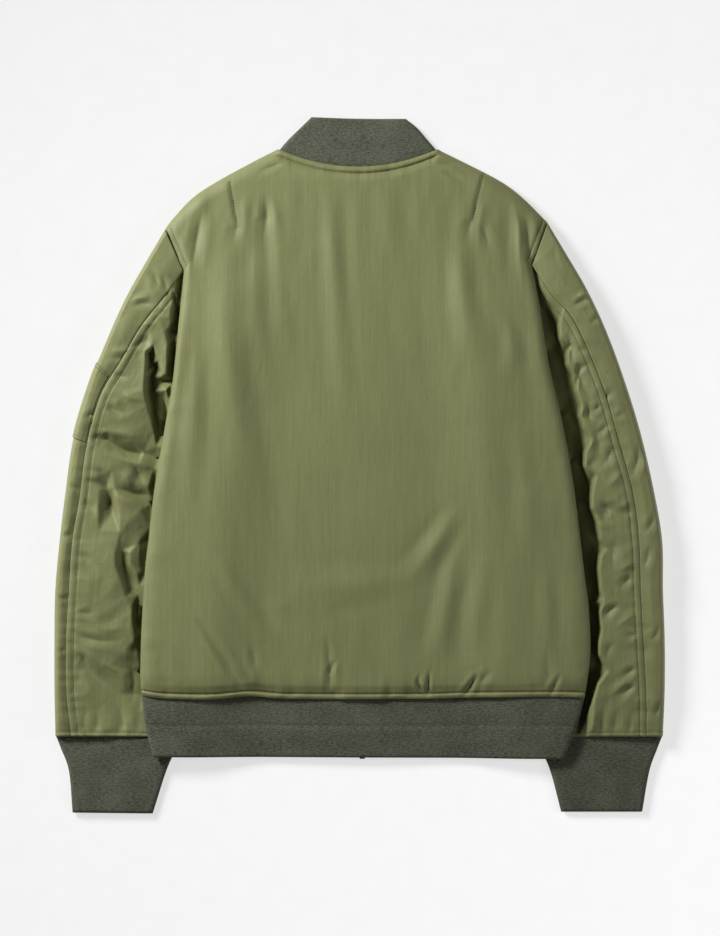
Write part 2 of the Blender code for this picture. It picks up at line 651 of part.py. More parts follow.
def band_line(row, t, layer, lifted):
    """One line along a rib band: the back layer, or the front one up to the zip."""
    left, right = row[:, None, 0:2], row[:, None, 2:4]
    line = left + (right - left) * t[None, :, None]
    middle_x, gap = (ZIP_X, FRONT_EDGE_X) if lifted else (0.0, COLLAR_GAP)
    gap_shares = gap_ends(t)
    for number, (start, end) in enumerate(zip(left[:, 0, 0], right[:, 0, 0])):
        marks = (start, middle_x - gap, middle_x + gap, end)
        line[number, :, 0] = np.interp(t, (0, *gap_shares, 1), marks)
    if layer == "back":
        line[..., 1] -= row[:, 4, None] * 4 * t * (1 - t)
        return line
    for fold, hand, keep in ((left, -1, line[0, :, 0] < middle_x), (right, 1, line[0, :, 0] > middle_x)):
        span = middle_x + hand * gap - fold[..., 0]
        s = (line[:, keep, 0] - fold[..., 0]) / span
        drop = fold[..., 1] - row[:, 5, None]
        line[:, keep, 1] = fold[..., 1] - drop * s - row[:, 6, None] * 4 * s * (1 - s)
    return line


def band_shares(table, lifted):
    """Shares across a band that crowd towards its folds and skip the gap at the zip."""
    t = both_ends(RIB_COLUMNS) * 0.55 + np.linspace(0, 1, RIB_COLUMNS) * 0.45
    left, right = table[0][0], table[0][2]
    middle_x, gap = (ZIP_X, FRONT_EDGE_X) if lifted else (0.0, COLLAR_GAP)
    ends = [(middle_x - gap - left) / (right - left), (middle_x + gap - left) / (right - left)]
    before = np.append(t[t < ends[0] - 0.01], ends[0])
    after = np.append(ends[1], t[t > ends[1] + 0.01])
    return np.concatenate([before, after]), len(before)


def rib_band(name, table, look, lifted, rows_count):
    """A flattened band of rib that is open at the middle of the front."""
    rows = sections_at(table, np.linspace(0, len(table) - 1, rows_count))
    t, half = band_shares(table, lifted)
    back = band_line(rows, t, "back", lifted)
    front = band_line(rows, t, "front", lifted)
    plan = np.concatenate([front[:, 1:half][:, ::-1], back, front[:, half:-1][:, ::-1]], axis=1)
    on_back = np.zeros(plan.shape[1], bool)
    on_back[half - 1:half - 1 + len(t)] = True
    left, right = rows[:, None, 0:2], rows[:, None, 2:4]
    if lifted:
        down = np.linspace(0, 1, rows_count)[:, None]
        plan[..., 1] += (hem_height(plan[..., 0]) - HEM_SEAM - plan[:1, :, 1]) * (1 - down)
        left = plan[:, half - 1:half]
        right = plan[:, half + len(t) - 2:half + len(t) - 1]
    x, y = plan[..., 0], plan[..., 1]
    ground = front_lift(x, y) if lifted else np.zeros(x.shape)
    middle = ground + RIB_WALL + 0.3
    if lifted:
        middle = middle + (ZIP_COVER - middle) * near_zip(x) * (1 - ground / SLEEVE_LIFT)
    else:
        front_top = np.interp(x, front[-1, :, 0], front[-1, :, 1])
        middle = middle - (middle - 0.4) * ease((y - front_top - 12) / 20) * on_back
    from_fold = np.minimum(apart(plan, left), apart(plan, right))
    edge = rounding(from_fold, RIB_RADIUS)
    under_z = middle - (middle - ground) * edge
    outer_z = np.where(on_back, middle + (RIB_WALL + SHEET_GAP) * edge, under_z)
    below = np.minimum(middle - SHEET_GAP, ground + FRONT_EDGE_TOP)
    inner_z = np.where(on_back, middle + SHEET_GAP, below)
    inner_z = np.where(from_fold < 0.01, middle, inner_z)
    tangent = np.gradient(plan, axis=1)
    tangent /= np.maximum(np.linalg.norm(tangent, axis=-1, keepdims=True), 0.001)
    tangent = np.where(on_back[None, :, None], tangent, -tangent)
    inner_plan = plan.copy()
    for fold, hand in ((left, 1), (right, -1)):
        near = RIB_WALL * np.clip(1 - apart(plan, fold) / 30, 0, 1)[..., None]
        neighbours = (np.roll(plan, 1, axis=1) + np.roll(plan, -1, axis=1)) / 2 - plan
        inward = neighbours / np.linalg.norm(neighbours, axis=-1, keepdims=True)
        at_fold = (apart(plan, fold) < 0.01)[..., None]
        inner_plan += near * np.where(at_fold, inward, hand * tangent)
    return cloth_wall(name, with_height(plan, outer_z), with_height(inner_plan, inner_z), look)


def cuff(name, table, look):
    """A flattened tube of rib round the end of a sleeve."""
    rows = sections_at(table, np.linspace(0, len(table) - 1, 5))
    outer, inner = rows[:, None, 0:2], rows[:, None, 2:4]
    t = both_ends(CUFF_COLUMNS)
    across = np.concatenate([t, t[-2:0:-1]])[None, :, None]
    upper = np.concatenate([np.ones(CUFF_COLUMNS), -np.ones(CUFF_COLUMNS - 2)])[None, :]
    upper[0, 0] = upper[0, CUFF_COLUMNS - 1] = 0
    plan = outer + (inner - outer) * across
    middle = RIB_WALL + 0.2
    from_fold = np.minimum(apart(plan, outer), apart(plan, inner))
    outer_z = middle + upper * middle * rounding(from_fold, RIB_RADIUS)
    inward = (inner - outer) / np.linalg.norm(inner - outer, axis=-1, keepdims=True)
    near_outer = np.clip(1 - apart(plan, outer) / 30, 0, 1)[..., None]
    near_inner = np.clip(1 - apart(plan, inner) / 30, 0, 1)[..., None]
    inner_plan = plan + inward * RIB_WALL * (near_outer - near_inner)
    inner_z = middle + upper * SHEET_GAP
    return cloth_wall(name, with_height(plan, outer_z), with_height(inner_plan, inner_z), look, closed=True)


# The front zip

def zip_tape(name, hand, look):
    """The tape that lies on the inner side of one front's edge."""
    near = ZIP_X + hand * (CHAIN_WIDTH / 2 + 0.5)
    far = near + hand * TAPE_WIDTH
    corners, faces = box_mesh((near, far), (ZIP_BOTTOM, ZIP_TOP + 14), TAPE_Z)
    return make_object(name, corners, faces, look, smooth=False)


def zip_chain(look):
    """The closed chain, as one strip."""
    half = CHAIN_WIDTH / 2
    corners, faces = box_mesh((ZIP_X - half, ZIP_X + half), (ZIP_BOTTOM + 9, ZIP_TOP), CHAIN_Z)
    return make_object("zip_chain", corners, faces, look, smooth=False)


def zip_end_box(look):
    """The box that holds the lower end of the chain."""
    half = CHAIN_WIDTH / 2 + 0.2
    corners, faces = box_mesh((ZIP_X - half, ZIP_X + half), (ZIP_BOTTOM - 3, ZIP_BOTTOM + 8.6),
                              (CHAIN_Z[0] - 0.6, CHAIN_Z[1] + 0.6))
    return make_object("zip_end_box", corners, faces, look, smooth=False)


def joined_blocks(name, blocks, look):
    """One body made of several overlapping boxes."""
    first = None
    for number, block in enumerate(blocks):
        corners, faces = box_mesh(*block)
        made = make_object(name if number == 0 else f"{name}_block_{number}", corners, faces, look, False)
        if number == 0:
            first = made
            continue
        union = first.modifiers.new(f"union_{number}", "BOOLEAN")
        union.operation = "UNION"
        union.object = made
        made.hide_render = True
        made.display_type = "WIRE"
    return first


def zip_slider(look):
    """The slider above the end of the chain, with the crown that carries the pull tab."""
    start = ZIP_TOP + SEAM
    end = start + SLIDER_LENGTH
    half = SLIDER_WIDTH / 2
    core = SLIDER_CORE / 2
    middle_y = (start + end) / 2
    low, high = SLIDER_LOWER_Z
    crown = CROWN_WIDTH / 2
    crown_start = middle_y - CROWN_LENGTH / 2
    crown_end = middle_y + CROWN_LENGTH / 2
    blocks = (
        ((ZIP_X - half, ZIP_X + half), (start, end), (low, high)),
        ((ZIP_X - half + 0.4, ZIP_X + half - 0.4), (start + 0.3, end - 0.3), SLIDER_UPPER_Z),
        ((ZIP_X - core, ZIP_X + core), (start + 0.8, end - 0.8), (low + 0.3, SLIDER_UPPER_Z[0] + 0.3)),
        ((ZIP_X - crown, ZIP_X + crown), (crown_start, crown_end), CROWN_Z),
        ((ZIP_X - crown + 0.1, ZIP_X + crown - 0.1), (crown_start + 0.1, crown_start + CROWN_LEG),
         (CROWN_Z[0] + 0.2, low + 0.3)),
        ((ZIP_X - crown + 0.1, ZIP_X + crown - 0.1), (crown_end - CROWN_LEG, crown_end - 0.1),
         (CROWN_Z[0] + 0.2, low + 0.3)),
    )
    return joined_blocks("zip_slider", blocks, look), middle_y


def zip_pull(middle_y, look):
    """The pull tab, a flat ring plate whose end bar turns under the slider's crown."""
    half = PULL_WIDTH / 2
    window_half = PULL_WINDOW[0] / 2
    bar = PULL_BAR / 2
    outline = [(-half, bar), (half, bar), (half, bar - PULL_LENGTH * 0.4), (half * 0.8, 2 - PULL_LENGTH),
               (half * 0.55, bar - PULL_LENGTH), (-half * 0.55, bar - PULL_LENGTH),
               (-half * 0.8, 2 - PULL_LENGTH), (-half, bar - PULL_LENGTH * 0.4)]
    window = [(-window_half, -bar), (window_half, -bar), (window_half, -bar - PULL_WINDOW[1]),
              (-window_half, -bar - PULL_WINDOW[1])]
    ring = outline + window
    count = len(ring)
    vertices = [(ZIP_X + x, middle_y + y, PULL_AXIS_Z + z) for z in (-bar, bar) for x, y in ring]
    plate = [(0, 1, 9, 8), (1, 2, 10, 9), (2, 3, 4, 5, 6, 7, 11, 10), (7, 0, 8, 11)]
    faces = [[i + count for i in face] for face in plate] + [list(face)[::-1] for face in plate]
    edge = len(outline)
    for k in range(edge):
        after = (k + 1) % edge
        faces.append([k, k + count, after + count, after])
    for k in range(4):
        here = edge + k
        after = edge + (k + 1) % 4
        faces.append([here, after, after + count, here + count])
    return make_object("zip_pull", vertices, faces, look, smooth=False)


def build():
    for old in list(bpy.data.objects):
        bpy.data.objects.remove(old)
    olive = material("olive_nylon", OLIVE, 0.6)
    rib = material("rib_knit", RIB_GREEN, 0.95)
    tape = material("zip_tape_cloth", TAPE_GREEN, 0.9)
    metal = material("zip_metal", ZIP_METAL, 0.4, 0.9)

    back_panel(olive)
    front_panel("front_left_panel", LEFT_SLEEVE, SHOULDER_LEFT[::-1], SIDE_LEFT, SIDE_TOP_LEFT, olive)
    front_panel("front_right_panel", RIGHT_SLEEVE, SHOULDER_RIGHT, SIDE_RIGHT, SIDE_TOP_RIGHT, olive)
    for hand, table, folds in (("left", LEFT_SLEEVE, LEFT_SLEEVE_FOLDS),
                               ("right", RIGHT_SLEEVE, RIGHT_SLEEVE_FOLDS)):
        pocket = hand == "left"
        sleeve_piece(f"{hand}_upper_sleeve", table, folds, "outer", olive, pocket)
        sleeve_piece(f"{hand}_under_sleeve", table, folds, "inner", olive, pocket)
    sleeve_pocket(olive)
    rib_band("collar", COLLAR_ROWS, rib, False, 5)
    rib_band("waistband", WAISTBAND_ROWS, rib, True, 4)
    cuff("left_cuff", LEFT_CUFF_ROWS, rib)
    cuff("right_cuff", RIGHT_CUFF_ROWS, rib)
    zip_tape("zip_tape_left", -1, tape)
    zip_tape("zip_tape_right", 1, tape)
    zip_chain(metal)
    zip_end_box(metal)
    _, middle_y = zip_slider(metal)
    zip_pull(middle_y, metal)


build()
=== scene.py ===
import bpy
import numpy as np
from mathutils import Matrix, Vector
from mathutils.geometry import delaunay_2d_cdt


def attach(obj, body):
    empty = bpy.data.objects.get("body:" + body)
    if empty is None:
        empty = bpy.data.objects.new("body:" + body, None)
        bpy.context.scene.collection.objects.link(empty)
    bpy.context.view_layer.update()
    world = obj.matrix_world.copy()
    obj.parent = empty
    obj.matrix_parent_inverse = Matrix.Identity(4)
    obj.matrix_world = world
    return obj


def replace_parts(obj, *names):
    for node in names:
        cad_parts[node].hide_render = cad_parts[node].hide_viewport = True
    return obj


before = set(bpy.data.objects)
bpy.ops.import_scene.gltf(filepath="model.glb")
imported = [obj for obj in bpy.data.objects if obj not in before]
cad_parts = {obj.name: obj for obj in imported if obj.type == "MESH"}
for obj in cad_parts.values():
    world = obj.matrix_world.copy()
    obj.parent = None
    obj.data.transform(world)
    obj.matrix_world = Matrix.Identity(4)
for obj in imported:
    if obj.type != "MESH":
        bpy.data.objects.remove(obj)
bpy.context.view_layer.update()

# The looks of a padded bomber jacket that lies flat on its front, with its back uppermost.
#
# The jacket lies on the plane z = 0 with its collar towards +Y. The wearer's left is at -X.
# Sizes and tables are in millimetres, and points become metres when a mesh is made. Each piece
# of cloth is a fine skin over the form of its solid, with its folds, seams and stitches.

MM = 0.001
BODY = "jacket"

# Driving sizes
SEAM = 0.35              # gap between two pieces that meet at a seam
CURVED_SEAM = 2.2        # the same, along the armhole on the underside
FRONT_NECK_SEAM = 3.2    # the same, between the fronts and the collar
BACK_NECK_SEAM = 0.6     # the same, between the back and the collar
SHEET_GAP = 0.2          # half of the gap between two layers that lie on each other
FRONT_WALL = 6.0         # wadded front panels
RIB_WALL = 3.4           # doubled rib knit
RIB_SLACK = 0.3          # air inside a flattened band of rib
BACK_LOFT_MIDDLE = 11.0  # rise of the back above the layer below it, along its middle
BACK_LOFT_SIDE = 8.0     # the same, where the back rides over a sleeve
RIM = 1.6                # thickness of a panel at a folded edge
LEAST_WALL = 0.8         # least thickness of the back, and least gap between it and a sleeve
FRONT_LEAST_WALL = 0.5   # least thickness of the fronts
FOLD_RADIUS = 16.0       # reach of the rounding beside a folded edge
SLEEVE_LIFT = 10.5       # clearance under the body for the sleeve below it
LIFT_RAMP = 42.0         # width over which the body comes down from the sleeve to the ground
SKIN_RAMP = 95.0         # the same, on the shown side of the back and the waistband
NECK_LEVEL = 345.0       # height up the jacket at which its layers thin out for the collar
THIN_REACH = 28.0        # distance over which they do, and the same above the hem
BACK_LIFT_FADE = (130.0, 270.0)    # heights up the jacket between which the lift fades out
FRONT_LIFT_FADE = (145.0, 220.0)

# The front zip
ZIP_X = 3.0              # its middle
ZIP_TOP = 262.0
ZIP_BOTTOM = -325.5
ZIP_COVER = 7.0          # height of the layer above the zip
ZIP_PLATEAU = 19.0       # half width of that height
ZIP_RAMP = 12.0          # width over which it falls on either side
FRONT_EDGE_X = 6.0       # distance of each front's edge from the middle of the zip
FRONT_EDGE_TOP = 4.1     # height of the fronts' own edges, under the tapes
FRONT_EDGE_FLAT = 8.0    # width of those edges, and the width over which the fronts rise beside them
FRONT_EDGE_RAMP = 10.0
FRONT_EDGE_ROUND = (1.6, 3.0)      # height and reach of the rounding of the same edges, from below
CHAIN_Z = (3.4, 5.6)     # heights between which the teeth stand
CHAIN_WIDTH = 5.6
CHAIN_START = 9.0        # length of the end box, beyond which the teeth start
TOOTH_PITCH = 2.9
TOOTH_WIDTH = 0.42       # width of a tooth as a share of the pitch, and its bevel
TOOTH_BEVEL = 0.4
TOOTH_TAPER = 0.8        # share of a tooth's width that its faces keep, and how far it passes the middle
TOOTH_OVERLAP = 0.5
TOOTH_OUTLINE = ((0.0, -0.42), (0.5, -0.5), (1.0, -0.5), (1.0, 0.5), (0.5, 0.5), (0.0, 0.42))

# Outlines in plan: x, y
SHOULDER_LEFT = ((-218, 265), (-208, 278), (-186, 301), (-157, 320), (-117, 342), (-91, 355))
SHOULDER_RIGHT = ((87, 355), (139, 329), (165, 314), (185, 298), (211, 272))
SIDE_LEFT = ((-197, 217), (-202, 165), (-209, 96), (-217, 47), (-229, -23), (-236, -83),
             (-240, -118), (-244, -186), (-245, -232), (-244, -256.5))
SIDE_RIGHT = ((193, 225), (201, 182), (211, 118), (227, 47), (239, -20), (247, -83),
              (252, -126), (256, -157), (258, -209), (252, -259))
HEM = ((-244, -256.5), (-217, -260), (-166, -261), (-123, -258), (-75, -261), (68, -261),
       (119, -259.5), (209, -258), (252, -259))
SIDE_TOP_LEFT = (-211, 80)
SIDE_TOP_RIGHT = (217, 82)

# One row for each section across a sleeve, from the armhole to the cuff: the outer fold, the
# back seam and the inner fold in plan, the bow of the underside towards the body, the heights
# of the back seam and of the crown outside it, and then the share of the way from the seam to
# the inner fold, with the height, of a ridge and of the hollow beside the body.
#  outer x, y    seam x, y    inner x, y   bow  seam  crown  ridge at, z  hollow at, z
LEFT_SLEEVE = (
    (-218, 265, -197, 217, -160, 165, 6, 9.0, 12.0, 0.10, 10.0, 0.60, 8.5),
    (-242, 224, -220, 186, -168, 118, 4, 15.0, 16.0, 0.15, 14.0, 0.50, 7.0),
    (-263, 186, -243, 157, -174, 74, 2, 17.0, 18.5, 0.12, 15.5, 0.46, 6.6),
    (-284, 139, -266, 118, -175, 40, 0, 17.5, 19.5, 0.10, 16.0, 0.40, 6.4),
    (-304, 88, -290, 77, -175, 6, 0, 17.0, 19.0, 0.14, 15.0, 0.44, 6.4),
    (-321, 29, -305, 22, -178, -27, 0, 16.0, 18.5, 0.10, 13.5, 0.38, 6.4),
    (-330, -33, -313, -36, -181, -61, 0, 15.0, 18.0, 0.10, 13.0, 0.40, 6.6),
    (-336, -83, -321, -84, -184, -100, 0, 15.0, 18.0, 0.12, 14.0, 0.40, 6.6),
    (-341, -139, -325, -140, -189, -150, 0, 14.5, 17.5, 0.20, 14.5, 0.52, 6.8),
    (-342, -195, -328, -196, -192, -203, 0, 14.0, 16.5, 0.22, 14.5, 0.57, 7.0),
    (-342, -251, -328, -252, -197, -256, 0, 12.5, 15.0, 0.22, 13.5, 0.60, 7.5),
    (-341, -303, -323, -303, -200, -304, 0, 8.5, 9.0, 0.25, 8.8, 0.60, 7.5),
)
RIGHT_SLEEVE = (
    (211, 272, 193, 224, 155, 170, 6, 9.0, 12.0, 0.08, 10.0, 0.50, 8.5),
    (233, 235, 215, 190, 163, 122, 4, 14.5, 16.0, 0.12, 14.0, 0.42, 6.8),
    (255, 197, 236, 167, 168, 77, 2, 16.5, 18.0, 0.14, 16.0, 0.40, 6.5),
    (276, 152, 255, 129, 171, 42, 0, 17.0, 18.5, 0.24, 17.0, 0.44, 6.4),
    (296, 98, 274, 81, 173, 9, 0, 16.5, 18.5, 0.26, 18.0, 0.45, 6.4),
    (314, 40, 289, 29, 176, -24, 0, 15.5, 18.0, 0.30, 18.5, 0.46, 6.4),
    (329, -24, 305, -29, 182, -59, 0, 15.0, 18.0, 0.32, 18.5, 0.47, 6.4),
    (339, -83, 312, -85, 189, -98, 0, 15.0, 18.0, 0.34, 18.5, 0.48, 6.4),
    (340, -139, 314, -141, 192, -149, 0, 14.5, 17.5, 0.37, 18.0, 0.48, 6.5),
    (342, -195, 317, -196, 193, -202, 0, 14.0, 16.5, 0.38, 17.0, 0.48, 6.8),
    (342, -251, 320, -252, 194, -255, 0, 12.5, 15.0, 0.38, 15.0, 0.49, 7.2),
    (340, -303, 321, -303, 194, -304, 0, 8.5, 9.0, 0.38, 8.8, 0.52, 7.5),
)
UNDER_SEAM = 0.35        # place of the under-sleeve seam, from the inner fold to the outer one
SLEEVE_MIDDLE = 5.0      # height at which the two layers of a sleeve meet
UNDERLAP_Z = 8.8         # height of a sleeve where it lies under the body
SLEEVE_RADIUS = 15.0     # reach of the rounding beside its folds

# Rib bands. Each row is one line along the band, from its seam to its free edge:
# left fold x, y, right fold x, y, sag of the back line, front middle y, sag of the front line
COLLAR_ROWS = (
    (-91, 355, 87, 355, 19.8, 280.5, 18.6),
    (-80, 367, 76, 367, 13, 298, 17.2),
    (-66, 380, 65, 379, 6.5, 318, 15.4),
    (-54, 391, 52, 389, 0.5, 336, 13.6),
)
WAISTBAND_ROWS = (
    (-244, -257, 252, -259, 0.0, -258.5, 0),
    (-240, -290, 243, -292, 0.0, -290, 0),
    (-231, -326, 228, -328, 0.0, -326.5, 0),
)
COLLAR_GAP = 5.0         # half of the gap between the collar's two ends
COLLAR_HALF = 95.0       # half of its width where it meets the shoulders
RIB_RADIUS = 6.0         # reach of the rounding beside a rib's folds

# The cuffs: outer x, y, inner x, y of each line round the cuff, from its seam to its opening
LEFT_CUFF_ROWS = (
    (-341, -304, -200, -305),
    (-335, -318, -206, -319),
    (-326, -343, -217, -343),
    (-322, -389, -232, -390),
)
RIGHT_CUFF_ROWS = (
    (340, -304, 194, -305),
    (334, -318, 203, -319),
    (325, -343, 214, -343),
    (317, -388, 226, -388),
)

# The sleeve pocket covers these rows of the left upper sleeve's solid. It wraps the outer fold.
POCKET_ROWS = (7, 10)
POCKET_GAP = 0.3         # gap between the pocket and the sleeve

# Creases of the cloth: half width, height (negative for a trough), the share of its length at
# which it is deepest, and then the x, y of its points
BACK_CREASES = (
    (5, -1.0, 0.3, -137, 272, -139, 258, -141, 236),
    (5, 0.9, 0.3, -130, 300, -128, 270, -133, 240),
    (5, -1.0, 0.3, 126, 280, 122, 262, 120, 238),
    (5, 0.9, 0.3, 140, 300, 134, 270, 133, 240),
    (7, 2.5, 0.45, -38, 316, -30, 236, -22, 116, -14, 28),
    (11, 4.6, 0.4, -140, 262, -150, 190, -144, 100, -128, 20, -114, -70),
    (6, -2.4, 0.4, -102, 308, -103, 196, -97, 84),
    (7, 3.2, 0.5, -180, 140, -186, 50, -196, -84),
    (8, 4.2, 0.35, 110, 270, 116, 180, 130, 106),
    (6, 3.0, 0.5, 158, 180, 170, 134, 169, 88),
    (8, 2.4, 0.5, 176, 60, 186, -40, 190, -130),
    (7.5, 5.0, 0.45, 114, -38, 92, -76, 68, -112, 40, -140),
    (11, 2.4, 0.45, 62, -122, 10, -132, -40, -136, -100, -148),
    (7, 4.0, 0.45, 108, -80, 99, -150, 88, -218),
    (7, 2.8, 0.5, 140, -84, 134, -150, 124, -212),
    (6, 3.4, 0.5, -166, -92, -130, -152, -88, -214),
    (6, 2.4, 0.5, 204, -80, 209, -160, 210, -244),
    (6, 2.0, 0.5, -171, 309, -179, 291, -182, 274),
    (5, -2.2, 0.45, -175, 289, -182, 252, -189, 208),
    (6, 1.4, 0.3, -188, 253, -194, 214, -201, 174),
    (6, 1.0, 0.4, -129, 313, -127, 281, -131, 242),
    (4.5, -2.6, 0.35, -106, 308, -104, 280, -105, 269, -110, 228),
    (11, -1.6, 0.4, -115, 262, -124, 223, -127, 186),
    (8, 0.9, 0.3, -93, 298, -90, 253, -98, 197),
    (6, -0.9, 0.3, -67, 331, -63, 264, -71, 186),
    (7, -0.8, 0.3, -52, 327, -49, 253, -53, 152),
    (7, 0.7, 0.3, -32, 325, -29, 242, -33, 141),
    (6, -0.8, 0.3, -19, 325, -15, 242, -19, 152),
    (7, -0.7, 0.3, 14, 325, 13, 264, 17, 186),
    (7, -0.7, 0.3, 47, 328, 51, 264, 47, 197),
    (4, -1.0, 0.3, 135, 273, 143, 253, 144, 228),
    (7, -1.0, 0.4, 107, 309, 100, 270, 101, 228),
    (3.0, -1.2, 0.3, 84, 340, 107, 336, 133, 322),
    (3.0, -1.0, 0.3, 90, 331, 110, 322, 124, 311),
    (3.0, -1.0, 0.3, -84, 339, -103, 333, -121, 325),
    (4.5, -2.0, 0.4, 183, 287, 188, 264, 190, 244, 193, 224, 202, 179),
    (5, 1.4, 0.4, 171, 302, 177, 270, 179, 228, 185, 174),
    (7, -1.0, 0.4, 157, 298, 165, 253, 166, 186),
    (5, 1.2, 0.5, -197, 186, -202, 118, -207, 68),
    (7, 0.9, 0.5, -207, 51, -215, -5, -222, -61),
    (3.0, -2.4, 0.75, -186, -169, -175, -180, -154, -212, -122, -262),
    (3.4, -1.4, 0.5, -124, -195, -118, -214, -115, -232),
    (5, 1.2, 0.7, -170, -168, -146, -205, -122, -246),
    (5, 1.0, 0.7, -136, -195, -121, -227, -115, -249),
    (3.0, -1.8, 0.8, -38, -182, -34, -215, -33, -256),
    (2.4, -1.4, 0.5, -26, -214, -31, -226, -34, -238),
    (2.0, -2.4, 0.6, 70, -228, 65, -241, 69, -250, 77, -263),
    (2.0, -2.4, 0.6, 79, -224, 77, -242, 76, -264),
    (2.4, -3.0, 0.65, 133, -228, 127, -241, 113, -264),
    (3.4, -1.4, 0.6, 148, -226, 140, -236, 128, -252),
    (4.5, -1.4, 0.7, 208, -197, 210, -223, 213, -248),
    (2.4, -2.2, 0.7, 226, -228, 219, -242, 210, -264),
    (10, -1.6, 0.6, 73, -126, 73, -178, 70, -227),
    (10, -1.5, 0.6, 114, -166, 108, -201, 103, -231),
    (8, 1.2, 0.6, 90, -106, 91, -173, 88, -240),
    (7, 1.0, 0.7, 133, -150, 128, -195, 139, -249),
    (9, -0.9, 0.8, 23, -106, 21, -173, 14, -251),
    (8, -0.9, 0.8, -78, -150, -80, -206, -76, -251),
    (8, -0.9, 0.8, -183, -162, -190, -206, -194, -249),
    (6, -1.0, 0.8, -218, -195, -220, -223, -217, -250),
    (7, -1.0, 0.8, 175, -195, 171, -223, 173, -251),
    (7, 1.0, 0.5, 237, -106, 238, -173, 236, -240),
    (9, -1.0, 0.5, 220, -5, 224, -72, 226, -150),
    (6, 1.2, 0.5, 194, 186, 202, 118, 215, 40),
    (10, -0.9, 0.5, 180, 152, 189, 74, 200, -5),
)
LEFT_CREASES = (
    (3.4, -2.2, 0.4, -221, 228, -217, 210, -214, 195),
    (3.4, 1.4, 0.4, -206, 228, -207, 208, -211, 186),
    (3.2, -1.9, 0.3, -252, 177, -241, 177, -231, 180),
    (4.0, -1.2, 0.4, -239, 190, -228, 186, -217, 187),
    (4.0, 1.4, 0.4, -245, 161, -235, 158, -226, 160),
    (3.0, -1.7, 0.3, -282, 127, -273, 127, -264, 125),
    (5.0, 1.4, 0.5, -235, 150, -233, 130, -237, 105),
    (8.0, -2.6, 0.5, -246, 137, -243, 113, -248, 83),
    (5.0, -2.4, 0.5, -230, 141, -224, 116, -221, 83),
    (5.0, 1.8, 0.4, -266, 83, -253, 75, -235, 74),
    (3.0, -1.6, 0.3, -276, 105, -266, 99, -257, 101),
    (4.0, -2.0, 0.3, -282, 69, -271, 61, -250, 58),
    (2.6, -1.7, 0.5, -289, 28, -282, 33, -278, 27),
    (4.6, -2.8, 0.5, -278, 20, -255, 15, -225, 11),
    (5.0, 1.6, 0.5, -286, 40, -262, 36, -237, 29),
    (3.6, -2.0, 0.4, -296, -1, -286, -11, -277, -27),
    (5.0, -2.6, 0.5, -287, -33, -281, -42, -273, -53),
    (4.0, -2.2, 0.5, -255, 6, -248, -9, -238, -26),
    (5.0, 1.8, 0.5, -271, -5, -259, -16, -255, -34),
    (4.4, -2.6, 0.5, -274, -25, -250, -31, -228, -34),
    (6.0, 1.8, 0.5, -293, -61, -273, -65, -246, -61),
    (3.4, -1.6, 0.3, -309, -38, -300, -47, -292, -61),
    (6.0, -3.2, 0.6, -268, -74, -262, -97, -255, -121, -250, -145),
    (5.0, 1.8, 0.5, -246, -72, -247, -101, -244, -128),
    (6.0, 1.6, 0.5, -282, -92, -275, -121, -273, -150),
    (6.0, -1.4, 0.5, -291, -106, -289, -139, -292, -171),
    (3.6, -1.5, 0.3, -315, -97, -302, -106, -293, -121),
    (3.0, -1.5, 0.3, -317, -162, -305, -165, -294, -164),
    (4.0, -2.2, 0.5, -245, -155, -247, -175, -247, -195),
    (4.0, -1.9, 0.5, -255, -197, -252, -206, -247, -215),
    (3.6, -2.0, 0.3, -319, -188, -291, -196, -259, -195),
    (4.5, 1.4, 0.4, -300, -179, -277, -183, -257, -178),
    (3.6, -2.2, 0.4, -320, -210, -310, -213, -306, -222, -293, -238, -278, -250),
    (5.0, 1.4, 0.5, -293, -218, -275, -227, -259, -235),
    (4.6, -1.8, 0.5, -259, -220, -253, -240, -255, -267),
    (4.0, -1.4, 0.8, -277, -262, -268, -276, -264, -298),
    (4.0, -1.3, 0.8, -295, -262, -293, -280, -294, -299),
    (3.4, -1.1, 0.8, -310, -267, -308, -283, -309, -299),
)
LEFT_OUT_CREASES = (
    (3.0, -1.6, 0.6, -256, 177, -243, 181, -229, 180),
    (3.0, 1.2, 0.6, -258, 183, -245, 187, -232, 187),
    (2.8, -1.8, 0.6, -222, 215, -218, 206, -214, 192),
    (3.2, -1.3, 0.6, -236, 220, -228, 210, -222, 196),
    (3.0, -1.5, 0.6, -284, 122, -266, 120, -248, 122),
    (3.2, 1.0, 0.5, -280, 130, -266, 128, -254, 130),
    (2.8, -1.3, 0.6, -310, 52, -300, 56, -288, 60),
    (2.8, -1.2, 0.6, -329, -22, -320, -24, -310, -30),
    (2.8, -1.2, 0.6, -334, -80, -327, -78, -319, -76),
    (2.8, -1.2, 0.6, -338, -146, -332, -148, -325, -152),
    (2.8, -1.2, 0.6, -339, -204, -333, -206, -327, -208),
)
